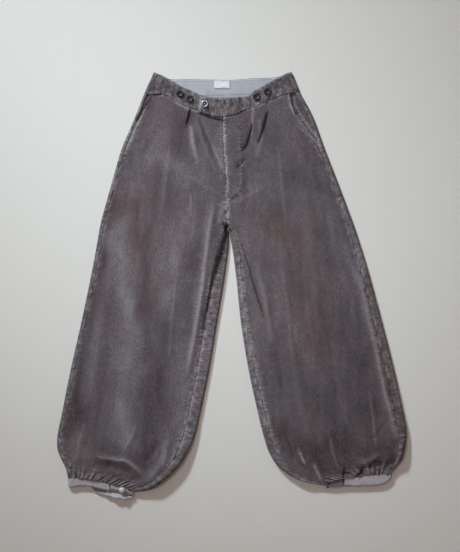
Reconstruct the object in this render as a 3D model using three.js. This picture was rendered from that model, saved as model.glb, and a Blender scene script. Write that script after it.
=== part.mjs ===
import * as THREE from 'three';

// Corduroy knickerbockers laid on their back, in millimetres.
// X runs across with the wearer's left at +X, Y from the hems to the waist, Z up from the surface.
// The origin is under the middle of the garment, on the surface that it lies on. The tables below
// measure from a point close to it, and MIDDLE is where the origin lies in their frame.

// Driving dimensions
const CLOTH = 1.8;              // one layer of corduroy
const BAND_CLOTH = 2.4;         // waistband, folded double
const LINING = 1.2;             // striped cotton inside the waistband
const CUFF_CLOTH = 1.6;         // pale cotton band at each hem
const SEAM = 0.3;               // gap between two pieces at a seam
const LAID_HEIGHT = 7.2;        // top of a front panel over the surface
const BAND_HEIGHT = 8.2;        // top of the waistband over the surface
const CUFF_HEIGHT = 8;          // top of a cuff over the surface
const CUFF_WIDTH = 20;
const FLY_RISE = 2.3;           // the left front lies this much over the fly underlap
const FLY_WIDTH = 26;
const FLY_END = 3.35;           // place of the fly's lower end, in rows of the leg tables
const UNDER_FLY = 4;            // the right front goes this far under the left one
const TAB_RISE = BAND_CLOTH + SEAM;
const BAND_RIGHT_END = -21;     // the right band ends here under the tab
const SEAT_SEAM_X = -6;         // centre back seam
const POCKET_END = 2.1;         // place of a pocket mouth's lower end, in rows of the leg tables
const POCKET_UNDER = 10;        // the facing goes this far under the front's edge
const POCKET_DROP = 0.4;        // and lies this much below it
const LABEL_WIDTH = 37;
const LABEL_DEPTH = 18;
const LABEL_CLOTH = 0.8;
const SLIT = 2.5;               // gap between a cuff's two ends
const BAND_LIP = 10;            // the back band's fold reaches this far in from the side
const MIDDLE = { x: 0.35, y: -4.3 };

// Each row of a leg table is one section across the leg, from the waist down to the cuff. Outer and
// inner are the two ends of the section on the outline. Side and inseam are how far the two seams lie
// in from the outline, mouth is the same for the front's edge along the pocket, the next two are the
// heights of the folded edges, and middle is the height of the front between them.
const LEG_COLUMNS = ['outerX', 'outerY', 'innerX', 'innerY', 'side', 'mouth', 'inseam',
  'sideHeight', 'inseamHeight', 'middle'];

const RIGHT_ROWS = [
  [-209, 458, -20, 402, 6, 17, 0, 7.2, 7.2, 7.2],
  [-236, 390, -18, 356, 6, 12, 0, 7.2, 7.2, 7.4],
  [-264, 323, -16, 304, 7, 9, 0, 7.2, 7.2, 7.4],
  [-289, 236, -8, 236, 8, 8, 0, 7.2, 7.2, 7.4],
  [-313, 150, -12, 150, 9, 9, 0, 7.2, 5.6, 7.4],
  [-322, 100, -7, 102, 10, 10, 20, 7.2, 5.6, 7.3],
  [-337, 20, -17, 20, 10, 10, 24, 7.2, 7.2, 7.3],
  [-361, -95, -36, -95, 10, 10, 26, 7.2, 7.2, 7.2],
  [-387, -210, -55, -210, 10, 10, 27, 7.2, 7.4, 7.3],
  [-407, -311, -76, -311, 11, 11, 27, 7.8, 8.6, 8.2],
  [-416, -354, -89, -364, 12, 12, 26, 8.8, 11.5, 10.4],
  [-418, -388, -106, -404, 12, 12, 24, 10.4, 15.5, 13.4],
  [-410, -414, -134, -445, 11, 11, 20, 11.4, 18.5, 15.8],
  [-398, -438, -184, -486, 10, 10, 15, 10.6, 17, 14],
  [-392, -463, -236, -497, 9, 9, 10, 8, 8, 8],
];

const LEFT_ROWS = [
  [162, 462, -20, 402, 10, 26, 0, 7.2, 7.2, 7.2],
  [192, 407, -17, 356, 10, 38, 0, 7.2, 7.2, 7.4],
  [223, 323, -14, 304, 11, 13, 0, 7.2, 7.2, 7.4],
  [257, 236, -8, 236, 12, 12, 0, 7.2, 7.2, 7.4],
  [289, 150, -12, 150, 13, 13, 0, 7.2, 5.6, 7.4],
  [306, 100, -1, 104, 14, 14, 16, 7.2, 5.6, 7.3],
  [330, 20, 11, 20, 15, 15, 14, 7.2, 7.2, 7.3],
  [361, -95, 23, -95, 18, 18, 13, 7.2, 7.2, 7.2],
  [390, -210, 42, -210, 19, 19, 14, 7.2, 7.4, 7.3],
  [412, -311, 64, -311, 19, 19, 16, 8.4, 8, 8.2],
  [419, -354, 76, -359, 18, 18, 16, 11, 9.6, 10.4],
  [416, -388, 90, -402, 16, 16, 15, 14.4, 12, 13.4],
  [409, -416, 116, -440, 14, 14, 13, 16, 14.5, 15.6],
  [398, -436, 167, -474, 12, 12, 11, 10.5, 12.6, 12],
  [383, -455, 227, -484, 10, 10, 9, 8, 8, 8],
];

// Seams that cross a panel's end, from the side seam to the centre, as [x, y] points
const WAIST_SEAM_RIGHT = [[-199, 454], [-172, 456], [-150, 450], [-131, 436], [-102, 424], [-76, 415],
  [-47, 405], [-13, 401]];
const WAIST_SEAM_LEFT = [[152, 459], [131, 456], [103, 445], [76, 434], [52, 424], [32, 418], [12, 409],
  [-20, 401]];
const TAB_LOW = [[-20, 401], [-49, 405], [-78, 414]];
const BAND_TOP_RIGHT = [[-152, 493], [-116, 473], [-92, 463], [-70, 453], [-47, 448],
  [-21, 447]];
const BAND_TOP_LEFT = [[109, 494], [83, 480], [56, 465], [39, 452], [1, 448], [-30, 446],
  [-54, 449], [-72, 449]];
const BACK_BAND_TOP = [[-186, 509], [-151, 493], [-100, 492], [-42, 491], [-4, 490], [44, 494],
  [109, 497], [143, 510]];
const BACK_SEAM = [[-151, 455], [-100, 455], [-42, 454], [-4, 454], [44, 456], [109, 458]];
const HEM_RIGHT = [[-384, -463], [-345, -466], [-320, -470], [-292, -477], [-265, -484], [-236, -487]];
const HEM_LEFT = [[374, -452], [331, -456], [308, -459], [270, -463], [250, -469], [227, -476]];

// Folds: rise over the panel (below zero for a trough), half width, and the points that it follows
const RIGHT_FOLDS = [
  { name: 'fly drag', rise: -1.3, width: 9, path: [[-78, 396], [-59, 340], [-24, 262]] },
  { name: 'pleat roll', rise: 1.6, width: 8, path: [[-96, 380], [-93, 345], [-88, 300]] },
  { name: 'hip hollow', rise: -1.2, width: 12, path: [[-97, 230], [-97, 150]] },
  { name: 'inner leg roll', rise: 2.8, width: 10,
    path: [[-42, 193], [-55, 119], [-68, 13], [-78, -56], [-95, -155], [-110, -225]] },
  { name: 'beside the roll', rise: -1.2, width: 12, path: [[-72, 150], [-88, 0], [-104, -120]] },
  { name: 'thigh fold', rise: 1.3, width: 18, path: [[-205, 250], [-222, 60], [-250, -140]] },
  { name: 'outer fold', rise: 1.1, width: 16, path: [[-290, 60], [-318, -120], [-345, -300]] },
  { name: 'knee hollow', rise: -1.1, width: 20, path: [[-180, -60], [-196, -230], [-220, -360]] },
  { name: 'blouse over the cuff', rise: 3.4, width: 12,
    path: [[-322, -412], [-271, -419], [-252, -421], [-208, -454]] },
  { name: 'inner blouse', rise: 2.2, width: 11, path: [[-150, -370], [-172, -430], [-196, -462]] },
  { name: 'blouse hollow', rise: -2.2, width: 12, path: [[-172, -372], [-206, -424]] },
];

const LEFT_FOLDS = [
  { name: 'pleat roll', rise: 1.5, width: 9, path: [[66, 400], [70, 350], [60, 300]] },
  { name: 'second pleat', rise: -1.3, width: 7, path: [[86, 414], [76, 372], [62, 330]] },
  { name: 'fly drag', rise: -1.2, width: 10, path: [[40, 380], [22, 318], [14, 262]] },
  { name: 'inner crease', rise: -1.6, width: 10, path: [[36, 76], [66, -37], [82, -92]] },
  { name: 'inner roll', rise: 1.8, width: 10, path: [[58, 60], [84, -60], [98, -150]] },
  { name: 'outer roll', rise: 2.6, width: 11,
    path: [[316, -18], [342, -133], [366, -246], [385, -323], [394, -376]] },
  { name: 'thigh fold', rise: 1.3, width: 18, path: [[170, 240], [190, 60], [214, -140]] },
  { name: 'knee hollow', rise: -1.1, width: 20, path: [[262, 20], [284, -150], [300, -320]] },
  { name: 'shin fold', rise: 1.4, width: 16, path: [[150, -180], [166, -290], [190, -380]] },
  { name: 'blouse roll', rise: 2.8, width: 9, path: [[196, -428], [206, -446], [217, -470]] },
  { name: 'short roll', rise: 1.8, width: 7, path: [[160, -392], [168, -412], [178, -432]] },
  { name: 'cuff roll', rise: 2.2, width: 10, path: [[352, -404], [330, -420], [300, -428]] },
];

// Pleats: the cloth on the side seam's side of the line stands over the other, and sinks away from it
const RIGHT_PLEATS = [{ top: [-99, 424], end: [-110, 372], step: 2.0, width: 16 }];
const LEFT_PLEATS = [
  { top: [52, 424], end: [46, 352], step: 2.2, width: 16 },
  { top: [86, 436], end: [76, 366], step: 1.2, width: 13 },
];

// Gathers over a cuff: place along the hem from the side (0) to the inseam (1), rise, half width as a
// part of the hem, and length up the leg
const GATHER_COLUMNS = ['place', 'rise', 'width', 'length'];
const RIGHT_GATHERS = [
  [0.05, 2.2, 0.022, 46], [0.115, 2.8, 0.024, 38], [0.18, 2.0, 0.02, 52], [0.245, 2.6, 0.024, 34],
  [0.31, 3.0, 0.026, 44], [0.375, 2.2, 0.022, 30], [0.44, 2.8, 0.024, 40], [0.51, 3.2, 0.026, 36],
  [0.575, 2.4, 0.022, 28], [0.635, 3.4, 0.024, 42], [0.70, 2.6, 0.024, 30], [0.77, 3.0, 0.026, 46],
  [0.84, 2.4, 0.024, 54], [0.91, 2.8, 0.026, 60], [0.965, 1.8, 0.02, 40],
];
const LEFT_GATHERS = [
  [0.05, 2.0, 0.022, 34], [0.11, 3.0, 0.024, 46], [0.17, 2.2, 0.022, 30], [0.235, 2.6, 0.024, 40],
  [0.295, 3.2, 0.026, 52], [0.36, 2.0, 0.022, 28], [0.425, 2.8, 0.026, 44], [0.49, 3.4, 0.026, 38],
  [0.56, 2.6, 0.022, 50], [0.625, 2.2, 0.024, 30], [0.695, 3.4, 0.028, 46], [0.77, 2.6, 0.026, 58],
  [0.845, 3.0, 0.026, 48], [0.92, 2.4, 0.026, 36],
];

// How far the lower edge of each back panel lies from that of its front, along Y
const BACK_HEM_SHIFT = { right: -2, left: 22 };

const table = (columns, rows) =>
  rows.map((row) => Object.fromEntries(columns.map((name, k) => [name, row[k]])));

const LEGS = {
  right: {
    rows: table(LEG_COLUMNS, RIGHT_ROWS),
    folds: RIGHT_FOLDS,
    pleats: RIGHT_PLEATS,
    gathers: table(GATHER_COLUMNS, RIGHT_GATHERS),
    waist: WAIST_SEAM_RIGHT,
    waistTip: [-186, 509],
    hem: HEM_RIGHT,
    backShift: BACK_HEM_SHIFT.right,
    outward: -1,
  },
  left: {
    rows: table(LEG_COLUMNS, LEFT_ROWS),
    folds: LEFT_FOLDS,
    pleats: LEFT_PLEATS,
    gathers: table(GATHER_COLUMNS, LEFT_GATHERS),
    waist: WAIST_SEAM_LEFT,
    waistTip: [143, 510],
    hem: HEM_LEFT,
    backShift: BACK_HEM_SHIFT.left,
    outward: 1,
  },
};
const LAST_ROW = RIGHT_ROWS.length - 1;
const CROTCH_ROW = 4;

// Small helpers

const clamp = (value, low, high) => Math.min(high, Math.max(low, value));
const lerp = (a, b, t) => a + (b - a) * t;
const smooth = (from, to, value) => {
  const t = clamp((value - from) / (to - from), 0, 1);
  return t * t * (3 - 2 * t);
};
const steps = (from, to, count) =>
  Array.from({ length: count + 1 }, (_, k) => lerp(from, to, k / count));

// A smooth value between four neighbours of a table
function spline(a, b, c, d, t) {
  const m = (c - a) / 2;
  const n = (d - b) / 2;
  const t2 = t * t;
  const t3 = t2 * t;
  return (2 * t3 - 3 * t2 + 1) * b + (t3 - 2 * t2 + t) * m + (3 * t2 - 2 * t3) * c + (t3 - t2) * n;
}

// One column of a leg table at a place v between its rows
function column(leg, name, v) {
  const k = clamp(Math.floor(v), 0, LAST_ROW - 1);
  const at = (i) => leg.rows[clamp(i, 0, LAST_ROW)][name];
  return spline(at(k - 1), at(k), at(k + 1), at(k + 2), v - k);
}

// The y of a line of [x, y] points at x, past its ends the y of the nearest one
function lineY(points, x) {
  const list = points[0][0] < points[points.length - 1][0] ? points : [...points].reverse();
  const last = list.length - 1;
  const inside = clamp(x, list[0][0], list[last][0]);
  let k = 0;
  while (k < last - 1 && list[k + 1][0] < inside) k += 1;
  const at = (i) => list[clamp(i, 0, last)][1];
  const t = (inside - list[k][0]) / (list[k + 1][0] - list[k][0]);
  return spline(at(k - 1), at(k), at(k + 1), at(k + 2), t);
}

// Distance from (x, y) to a path, and how far along the path its nearest point lies, from 0 to 1
function nearPath(path, x, y) {
  let best = { distance: Infinity, along: 0 };
  for (let k = 0; k < path.length - 1; k += 1) {
    const [ax, ay] = path[k];
    const dx = path[k + 1][0] - ax;
    const dy = path[k + 1][1] - ay;
    const t = clamp(((x - ax) * dx + (y - ay) * dy) / (dx * dx + dy * dy), 0, 1);
    const distance = Math.hypot(x - ax - t * dx, y - ay - t * dy);
    if (distance < best.distance) best = { distance, along: (k + t) / (path.length - 1) };
  }
  return best;
}

// A closed wall from rows of outer and inner points. Rows may differ in their number of points:
// each has the places of its points along the row, from 0 to 1, and neighbours are joined by these.
function wall(rows) {
  const positions = [];
  const index = [];
  const number = (points) => points.map((p) => positions.push(...p) / 3 - 1);
  const outer = rows.map((row) => number(row.outer));
  const inner = rows.map((row) => number(row.inner));
  const quad = (a, b, c, d) => index.push(a, b, c, a, c, d);

  for (let k = 0; k < rows.length - 1; k += 1) {
    const here = rows[k].places;
    const next = rows[k + 1].places;
    let i = 0;
    let j = 0;
    while (i < here.length - 1 || j < next.length - 1) {
      const advance = j === next.length - 1 || (i < here.length - 1 && here[i + 1] <= next[j + 1]);
      const p = advance ? i + 1 : j + 1;
      const from = advance ? outer[k] : outer[k + 1];
      const under = advance ? inner[k] : inner[k + 1];
      index.push(outer[k][i], outer[k + 1][j], from[p]);
      index.push(inner[k][i], under[p], inner[k + 1][j]);
      if (advance) i += 1;
      else j += 1;
    }
    quad(outer[k + 1][0], outer[k][0], inner[k][0], inner[k + 1][0]);
    quad(outer[k].at(-1), outer[k + 1].at(-1), inner[k + 1].at(-1), inner[k].at(-1));
  }
  const end = rows.length - 1;
  for (let i = 0; i < outer[0].length - 1; i += 1) {
    quad(outer[0][i], outer[0][i + 1], inner[0][i + 1], inner[0][i]);
  }
  for (let i = 0; i < outer[end].length - 1; i += 1) {
    quad(outer[end][i + 1], outer[end][i], inner[end][i], inner[end][i + 1]);
  }
  return facingOut(positions, index);
}

// The wall's faces turned so that its volume is above zero
function facingOut(positions, index) {
  const point = (i) => new THREE.Vector3().fromArray(positions, 3 * i);
  let volume = 0;
  for (let k = 0; k < index.length; k += 3) {
    volume += point(index[k]).dot(point(index[k + 1]).cross(point(index[k + 2])));
  }
  if (volume < 0) index.reverse();
  const geometry = new THREE.BufferGeometry();
  geometry.setAttribute('position', new THREE.Float32BufferAttribute(positions, 3));
  geometry.setIndex(index);
  return geometry;
}

// The garment's outline and seams

// A place on the outline. The seat is the centre back seam, which the back panels follow down to the
// crotch in place of the fronts' inner line.
function outline(leg, which, v, seat) {
  const x = column(leg, `${which}X`, v);
  const y = column(leg, `${which}Y`, v);
  if (!seat || v >= CROTCH_ROW + 1) return [x, y];
  const below = clamp(v - CROTCH_ROW, 0, 1);
  const seamX = SEAT_SEAM_X + leg.outward * SEAM / 2;
  return [lerp(seamX, x, below), v < CROTCH_ROW ? column(leg, 'outerY', v) : y];
}

// A place on the outline with its direction into the leg, which at the cuff turns along the hem
function edge(leg, which, v, seat = false) {
  const [x, y] = outline(leg, which, v, seat);
  const above = outline(leg, which, Math.max(0, v - 0.1), seat);
  const below = outline(leg, which, Math.min(LAST_ROW, v + 0.1), seat);
  const turn = (which === 'outer' ? 1 : -1) * leg.outward;
  const square = new THREE.Vector2(turn * (below[1] - above[1]), -turn * (below[0] - above[0]));
  const other = outline(leg, which === 'outer' ? 'inner' : 'outer', v, false);
  const alongHem = new THREE.Vector2(other[0] - x, other[1] - y).normalize();
  const into = square.normalize().lerp(alongHem, smooth(LAST_ROW - 1, LAST_ROW, v)).normalize();
  return { x, y, inX: into.x, inY: into.y };
}

// Sections where the seams have their corners. Between them every seam runs straight, so that the
// pieces on its two sides keep their gap.
const SECTIONS = [0, 0.5, 1, 1.5, 2, 2.5, 3, 3.35, 3.7, 4, 4.5, 5, 5.2, 5.35, 5.5, 5.65, 6, 6.5, 7,
  8, 9, 9.7, 10.3, 10.8, 11.3, 11.7, 12.1, 12.5, 12.9, 13.3, 13.65, 14];

function straight(v, pointAt) {
  let k = 0;
  while (k < SECTIONS.length - 2 && SECTIONS[k + 1] <= v) k += 1;
  const t = (v - SECTIONS[k]) / (SECTIONS[k + 1] - SECTIONS[k]);
  const from = pointAt(SECTIONS[k]);
  const to = pointAt(SECTIONS[k + 1]);
  return [lerp(from[0], to[0], t), lerp(from[1], to[1], t)];
}

const inset = (e, distance) => [e.x + e.inX * distance, e.y + e.inY * distance];

// The two ends of a front panel's section
function frontEnds(leg, v) {
  const sideInset = (w) => Math.max(column(leg, 'side', w), column(leg, 'mouth', w)) + SEAM;
  const centreInset = (w) => Math.max(0, column(leg, 'inseam', w)) + SEAM;
  const side = straight(v, (w) => inset(edge(leg, 'outer', w), sideInset(w)));
  const centre = straight(v, (w) => inset(edge(leg, 'inner', w), centreInset(w)));
  const underFly = leg.outward < 0 ? UNDER_FLY * (1 - smooth(FLY_END - 0.3, FLY_END - 0.1, v)) : 0;
  return [side, [centre[0] + underFly, centre[1]]];
}

// How many rows the curves of the waist seam and of the hem reach into a front panel
const WAIST_REACH = 2.5;
const HEM_REACH = 2;

// A place on a front panel in plan: u runs from its side edge to its centre edge
function frontPlan(leg, u, v) {
  const [side, centre] = frontEnds(leg, v);
  const x = lerp(side[0], centre[0], u);
  const y = lerp(side[1], centre[1], u);
  const [topSide, topCentre] = frontEnds(leg, 0);
  const [endSide, endCentre] = frontEnds(leg, LAST_ROW);
  const top = [0, 1].map((k) => lerp(topSide[k], topCentre[k], u));
  const end = [0, 1].map((k) => lerp(endSide[k], endCentre[k], u));
  const waist = lineY(leg.waist, top[0]) - top[1];
  const hem = lineY(leg.hem, end[0]) - end[1];
  const nearWaist = (1 - clamp(v / WAIST_REACH, 0, 1)) ** 2;
  const nearHem = clamp((v - LAST_ROW + HEM_REACH) / HEM_REACH, 0, 1) ** 2;
  return [x, y + waist * nearWaist + hem * nearHem];
}

// Heights of a front panel

const EDGE_FADE = 12;           // folds and gathers sink to nothing over this much of an edge
const EDGE_SLOPE = 40;          // the middle's height changes to an edge's over this much
const FLY_SLOPE_FROM = FLY_WIDTH + 6;
const FLY_SLOPE_TO = FLY_WIDTH + 24;

function foldRise(folds, x, y) {
  return folds.reduce((sum, fold) => {
    const { distance, along } = nearPath(fold.path, x, y);
    const taper = 1 - (2 * along - 1) ** 4;
    return sum + fold.rise * taper * Math.exp(-((distance / fold.width) ** 2));
  }, 0);
}

function pleatRise(leg, x, y) {
  return leg.pleats.reduce((sum, pleat) => {
    const t = clamp((pleat.top[1] - y) / (pleat.top[1] - pleat.end[1]), 0, 1);
    const away = (x - lerp(pleat.top[0], pleat.end[0], t)) * leg.outward;
    const fade = (1 - smooth(0.6, 1, t)) * lerp(0.4, 1, smooth(0, 0.3, t));
    return sum + (away > 0 ? pleat.step * fade * Math.exp(-((away / pleat.width) ** 2)) : 0);
  }, 0);
}

function gatherRise(leg, u, overHem) {
  return leg.gathers.reduce((sum, gather) => {
    const across = Math.exp(-(((u - gather.place) / gather.width) ** 2));
    return sum + gather.rise * across * (1 - smooth(0, gather.length, overHem));
  }, 0);
}

function frontHeight(leg, u, v, x, y) {
  const [side, centre] = frontEnds(leg, v);
  const fromSide = Math.hypot(x - side[0], y - side[1]);
  const fromCentre = Math.hypot(x - centre[0], y - centre[1]);
  const middle = column(leg, 'middle', v);
  const atSide = (column(leg, 'sideHeight', v) - middle) * (1 - smooth(0, EDGE_SLOPE, fromSide));
  const atCentre = (column(leg, 'inseamHeight', v) - middle) * (1 - smooth(0, EDGE_SLOPE, fromCentre));
  const edgeFade = smooth(0, EDGE_FADE, fromSide) * smooth(0, EDGE_FADE, fromCentre);
  const overHem = Math.hypot(...[0, 1].map((k) => frontPlan(leg, u, LAST_ROW)[k] - [x, y][k]));
  const relief = foldRise(leg.folds, x, y) + pleatRise(leg, x, y) + gatherRise(leg, u, overHem);
  return middle + atSide + atCentre + relief * edgeFade + flyRise(leg, fromCentre, v);
}

function flyRise(leg, fromCentre, v) {
  if (leg.outward < 0) return 0;
  const down = 1 - smooth(FLY_END + 0.05, FLY_END + 0.4, v);
  return FLY_RISE * down * (1 - smooth(FLY_SLOPE_FROM, FLY_SLOPE_TO, fromCentre));
}

// Pieces of the legs

const FRONT_ROWS = [0, 0.25, 0.5, 0.75, 1, 1.5, 2, 2.5, 3, 3.35, 3.7, 4, 4.5, 5, 5.35, 5.65, 6, 6.5,
  7, 7.5, 8, 8.5, 9, 9.7, 10.3, 10.8, 11.3, 11.7, 12.1, 12.5, 12.9, 13.3, 13.65, 14];
const FRONT_COLUMNS = 17;
const GATHER_START = 13;
const GATHER_POINTS = 60;

// Places of a row's points: close beside each pleat, and closer over the whole hem
function frontPlaces(leg, v) {
  const count = v > GATHER_START ? GATHER_POINTS : FRONT_COLUMNS;
  const places = steps(0, 1, count);
  const [side, centre] = frontEnds(leg, v);
  const middleY = frontPlan(leg, 0.5, v)[1];
  for (const pleat of leg.pleats) {
    if (middleY < pleat.end[1]) continue;
    const t = clamp((pleat.top[1] - middleY) / (pleat.top[1] - pleat.end[1]), 0, 1);
    const place = (lerp(pleat.top[0], pleat.end[0], t) - side[0]) / (centre[0] - side[0]);
    const near = 1.2 / Math.abs(centre[0] - side[0]);
    places.push(place - near, place + near);
  }
  return places.sort((a, b) => a - b);
}

function front(leg) {
  return wall(FRONT_ROWS.map((v) => {
    const places = frontPlaces(leg, v);
    const outer = places.map((u) => {
      const [x, y] = frontPlan(leg, u, v);
      return [x, y, frontHeight(leg, u, v, x, y)];
    });
    return { places, outer, inner: outer.map(([x, y, z]) => [x, y, z - CLOTH]) };
  }));
}

const EDGE_STEPS = 5;
const LIP_STEPS = 1;
const FLOOR_STEPS = 5;

// A folded edge: from the surface round an arc and back over itself to the seam. A curl of 1 is a
// whole fold, and less lets the cloth's edge lie down towards flat.
function foldedEdge(e, height, curl, seamInset, cloth, shift) {
  const radius = height / 2 / curl;
  const turn = Math.PI * curl;
  const lip = Math.max(1, (seamInset - height / 2) * smooth(0.85, 1, curl));
  const reach = turn >= Math.PI / 2 ? radius : radius * Math.sin(turn) + lip * Math.cos(turn);
  const at = (along, z, outerZ) => {
    const [x, y] = inset(e, along);
    return [x, y + shift * (1 - clamp(outerZ / height, 0, 1)), z];
  };
  const points = steps(0, turn, EDGE_STEPS).map((angle) => {
    const z = radius * (1 - Math.cos(angle));
    const inside = radius - cloth;
    return {
      outer: at(reach - radius * Math.sin(angle), z, z),
      inner: at(reach - inside * Math.sin(angle), radius - inside * Math.cos(angle), z),
    };
  });
  const endAlong = reach - radius * Math.sin(turn);
  const endZ = radius * (1 - Math.cos(turn));
  for (const length of steps(0, lip, LIP_STEPS).slice(1)) {
    const along = endAlong - length * Math.cos(turn);
    const z = endZ + length * Math.sin(turn);
    points.push({
      outer: at(along, z, z),
      inner: at(along + cloth * Math.sin(turn), z + cloth * Math.cos(turn), z),
    });
  }
  return points;
}

// How far the back panel's inner edge is folded up: not at all above the crotch
const innerCurl = (v) => Math.max(0.01, smooth(CROTCH_ROW + 0.95, CROTCH_ROW + 1.6, v));

function backSection(leg, v, cloth = CLOTH) {
  const shift = leg.backShift * smooth(LAST_ROW - 2, LAST_ROW, v);
  const side = foldedEdge(edge(leg, 'outer', v), column(leg, 'sideHeight', v), 1,
    column(leg, 'side', v), cloth, shift);
  const inner = foldedEdge(edge(leg, 'inner', v, true), column(leg, 'inseamHeight', v), innerCurl(v),
    column(leg, 'inseam', v), cloth, shift);
  const from = side[0].outer;
  const to = inner[0].outer;
  const floor = steps(0, 1, FLOOR_STEPS).slice(1, -1).map((t) => {
    const x = lerp(from[0], to[0], t);
    const y = v > 0 ? lerp(from[1], to[1], t) : backSeamY(x);
    return { outer: [x, y, 0], inner: [x, y, cloth] };
  });
  if (v === 0) {
    for (const point of inner) {
      point.outer[1] = backSeamY(point.outer[0]);
      point.inner[1] = backSeamY(point.inner[0]);
    }
  }
  return [...side.reverse(), ...floor, ...inner];
}

// The upper edge of the back panels, from the right fold over the surface to the left one
function backSeamY(x) {
  const ends = [LEGS.right, LEGS.left].map((leg) => inset(edge(leg, 'outer', 0), LAID_HEIGHT / 2));
  return lineY([ends[0], ...BACK_SEAM, ends[1]], x);
}

const asRow = (points) => ({
  places: steps(0, 1, points.length - 1),
  outer: points.map((p) => p.outer),
  inner: points.map((p) => p.inner),
});

const back = (leg) => wall(SECTIONS.map((v) => asRow(backSection(leg, v))));

// The pocket's facing, from the back panel's lip to under the front's edge
function pocketFacing(leg) {
  const top = LAID_HEIGHT - CLOTH - POCKET_DROP;
  const mouth = (w) => Math.max(column(leg, 'side', w), column(leg, 'mouth', w)) + POCKET_UNDER;
  return wall([0.06, ...steps(0.5, POCKET_END, 4)].map((v) => {
    const from = straight(v, (w) => inset(edge(leg, 'outer', w), column(leg, 'side', w) + SEAM));
    const to = straight(v, (w) => inset(edge(leg, 'outer', w), mouth(w)));
    return asRow(steps(0, 1, 3).map((t) => {
      const x = lerp(from[0], to[0], t);
      const y = lerp(from[1], to[1], t);
      return { outer: [x, y, top], inner: [x, y, top - CLOTH] };
    }));
  }));
}

// The strip that buttons under the fly, beside the right front's edge
function flyUnderlap() {
  return wall([0.04, 0.5, 1, 1.5, 2, 2.5, 3, FLY_END - 0.1].map((v) => {
    const [edgeX, y] = straight(v, (w) => outline(LEGS.right, 'inner', w, false));
    return asRow(steps(edgeX + UNDER_FLY + 3 * SEAM, edgeX + FLY_WIDTH, 3).map((x) => (
      { outer: [x, y - 1, LAID_HEIGHT], inner: [x, y - 1, LAID_HEIGHT - CLOTH] })));
  }));
}

// Waistband

const BAND_SEAM = SEAM + 0.1;   // gap under the band's folded side
const TIP_INTO = { x: -0.91, y: -0.42 };    // direction into the band at its upper corner

// The folded side of the back band, from its lower edge (0) to its upper one (1)
function bandEnd(leg, t) {
  const low = edge(leg, 'outer', 0);
  const [tipX, tipY] = leg.waistTip;
  return {
    x: lerp(low.x, tipX, t),
    y: lerp(low.y + BAND_SEAM, tipY, t),
    inX: lerp(low.inX, leg.outward * TIP_INTO.x, t),
    inY: lerp(low.inY, TIP_INTO.y, t),
  };
}

// A band between a panel's upper edge, whose points it shares, and a line of points along its own top
function bandPatch(leg, low, line, rows, height) {
  const top = [inset(bandEnd(leg, 1), BAND_LIP + SEAM), ...line];
  const first = top[0][0];
  const last = top[top.length - 1][0];
  return wall(steps(0, 1, rows).map((t) => asRow(low.map(([lowX, lowY]) => {
    const s = (lowX - low[0][0]) / (low[low.length - 1][0] - low[0][0]);
    const topX = lerp(first, last, s);
    const x = lerp(lowX, topX, t);
    const z = height(x);
    const y = lerp(lowY + SEAM, lineY(top, topX), t);
    return { outer: [x, y, z], inner: [x, y, z - BAND_CLOTH] };
  }))));
}

// A front panel's upper edge, carried on to the side band's seam
function panelTop(leg) {
  const points = frontPlaces(leg, 0).map((u) => frontPlan(leg, u, 0));
  const [endX, endY] = inset(bandEnd(leg, 0), BAND_LIP + SEAM);
  const end = [endX, endY - SEAM];
  const between = [lerp(end[0], points[0][0], 0.5), lerp(end[1], points[0][1], 0.5)];
  return [end, between, ...points];
}

function bandRight() {
  const low = panelTop(LEGS.right).filter(([x]) => x < BAND_RIGHT_END - 2);
  low.push([BAND_RIGHT_END, lineY(WAIST_SEAM_RIGHT, BAND_RIGHT_END)]);
  return bandPatch(LEGS.right, low, BAND_TOP_RIGHT, 3, () => BAND_HEIGHT);
}

// The left band passes over the right one as a tab, and comes down beyond the fly
const TAB_DOWN_FROM = 8;
const TAB_DOWN_TO = 30;
const tabHeight = (x) => BAND_HEIGHT + TAB_RISE * (1 - smooth(TAB_DOWN_FROM, TAB_DOWN_TO, x));

function bandLeft() {
  const tab = steps(TAB_LOW[0][0] - 6, TAB_LOW.at(-1)[0], 5).map((x) => [x, lineY(TAB_LOW, x)]);
  return bandPatch(LEGS.left, [...panelTop(LEGS.left), ...tab], BAND_TOP_LEFT, 3, tabHeight);
}

// The back band lies on the surface and folds up at both sides to meet the front bands
function bandBack() {
  const floorX = (leg) => {
    const points = backSection(leg, 0).map((p) => p.outer);
    const first = EDGE_STEPS + LIP_STEPS + 1;
    return points.slice(first, first + FLOOR_STEPS - 1).map(([x]) => x);
  };
  const columnsX = [...floorX(LEGS.right), ...floorX(LEGS.left).reverse()];
  const foldOf = (leg, t) => foldedEdge(bandEnd(leg, t), BAND_HEIGHT, 1, BAND_LIP, BAND_CLOTH, 0);
  const span = [foldOf(LEGS.right, 0)[0].outer[0], foldOf(LEGS.left, 0)[0].outer[0]];
  return wall(steps(0, 1, 3).map((t) => {
    const right = foldOf(LEGS.right, t);
    const left = foldOf(LEGS.left, t);
    const floor = columnsX.map((lowX) => {
      const s = (lowX - span[0]) / (span[1] - span[0]);
      const x = lerp(right[0].outer[0], left[0].outer[0], s);
      const y = lerp(backSeamY(lowX) + SEAM, lineY(BACK_BAND_TOP, x), t);
      return { outer: [x, y, 0], inner: [x, y, BAND_CLOTH] };
    });
    return asRow([...right.reverse(), ...floor, ...left]);
  }));
}

// The striped lining of the back band, which shows over the front
const FACING_TOP = BAND_CLOTH + SEAM + LINING;
const FACING_ENDS = { right: -178, left: 136 };
const FACING_BELOW = 6;         // it reaches this far under the back band's seam
const FACING_TOP_INSET = 1.5;

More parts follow.
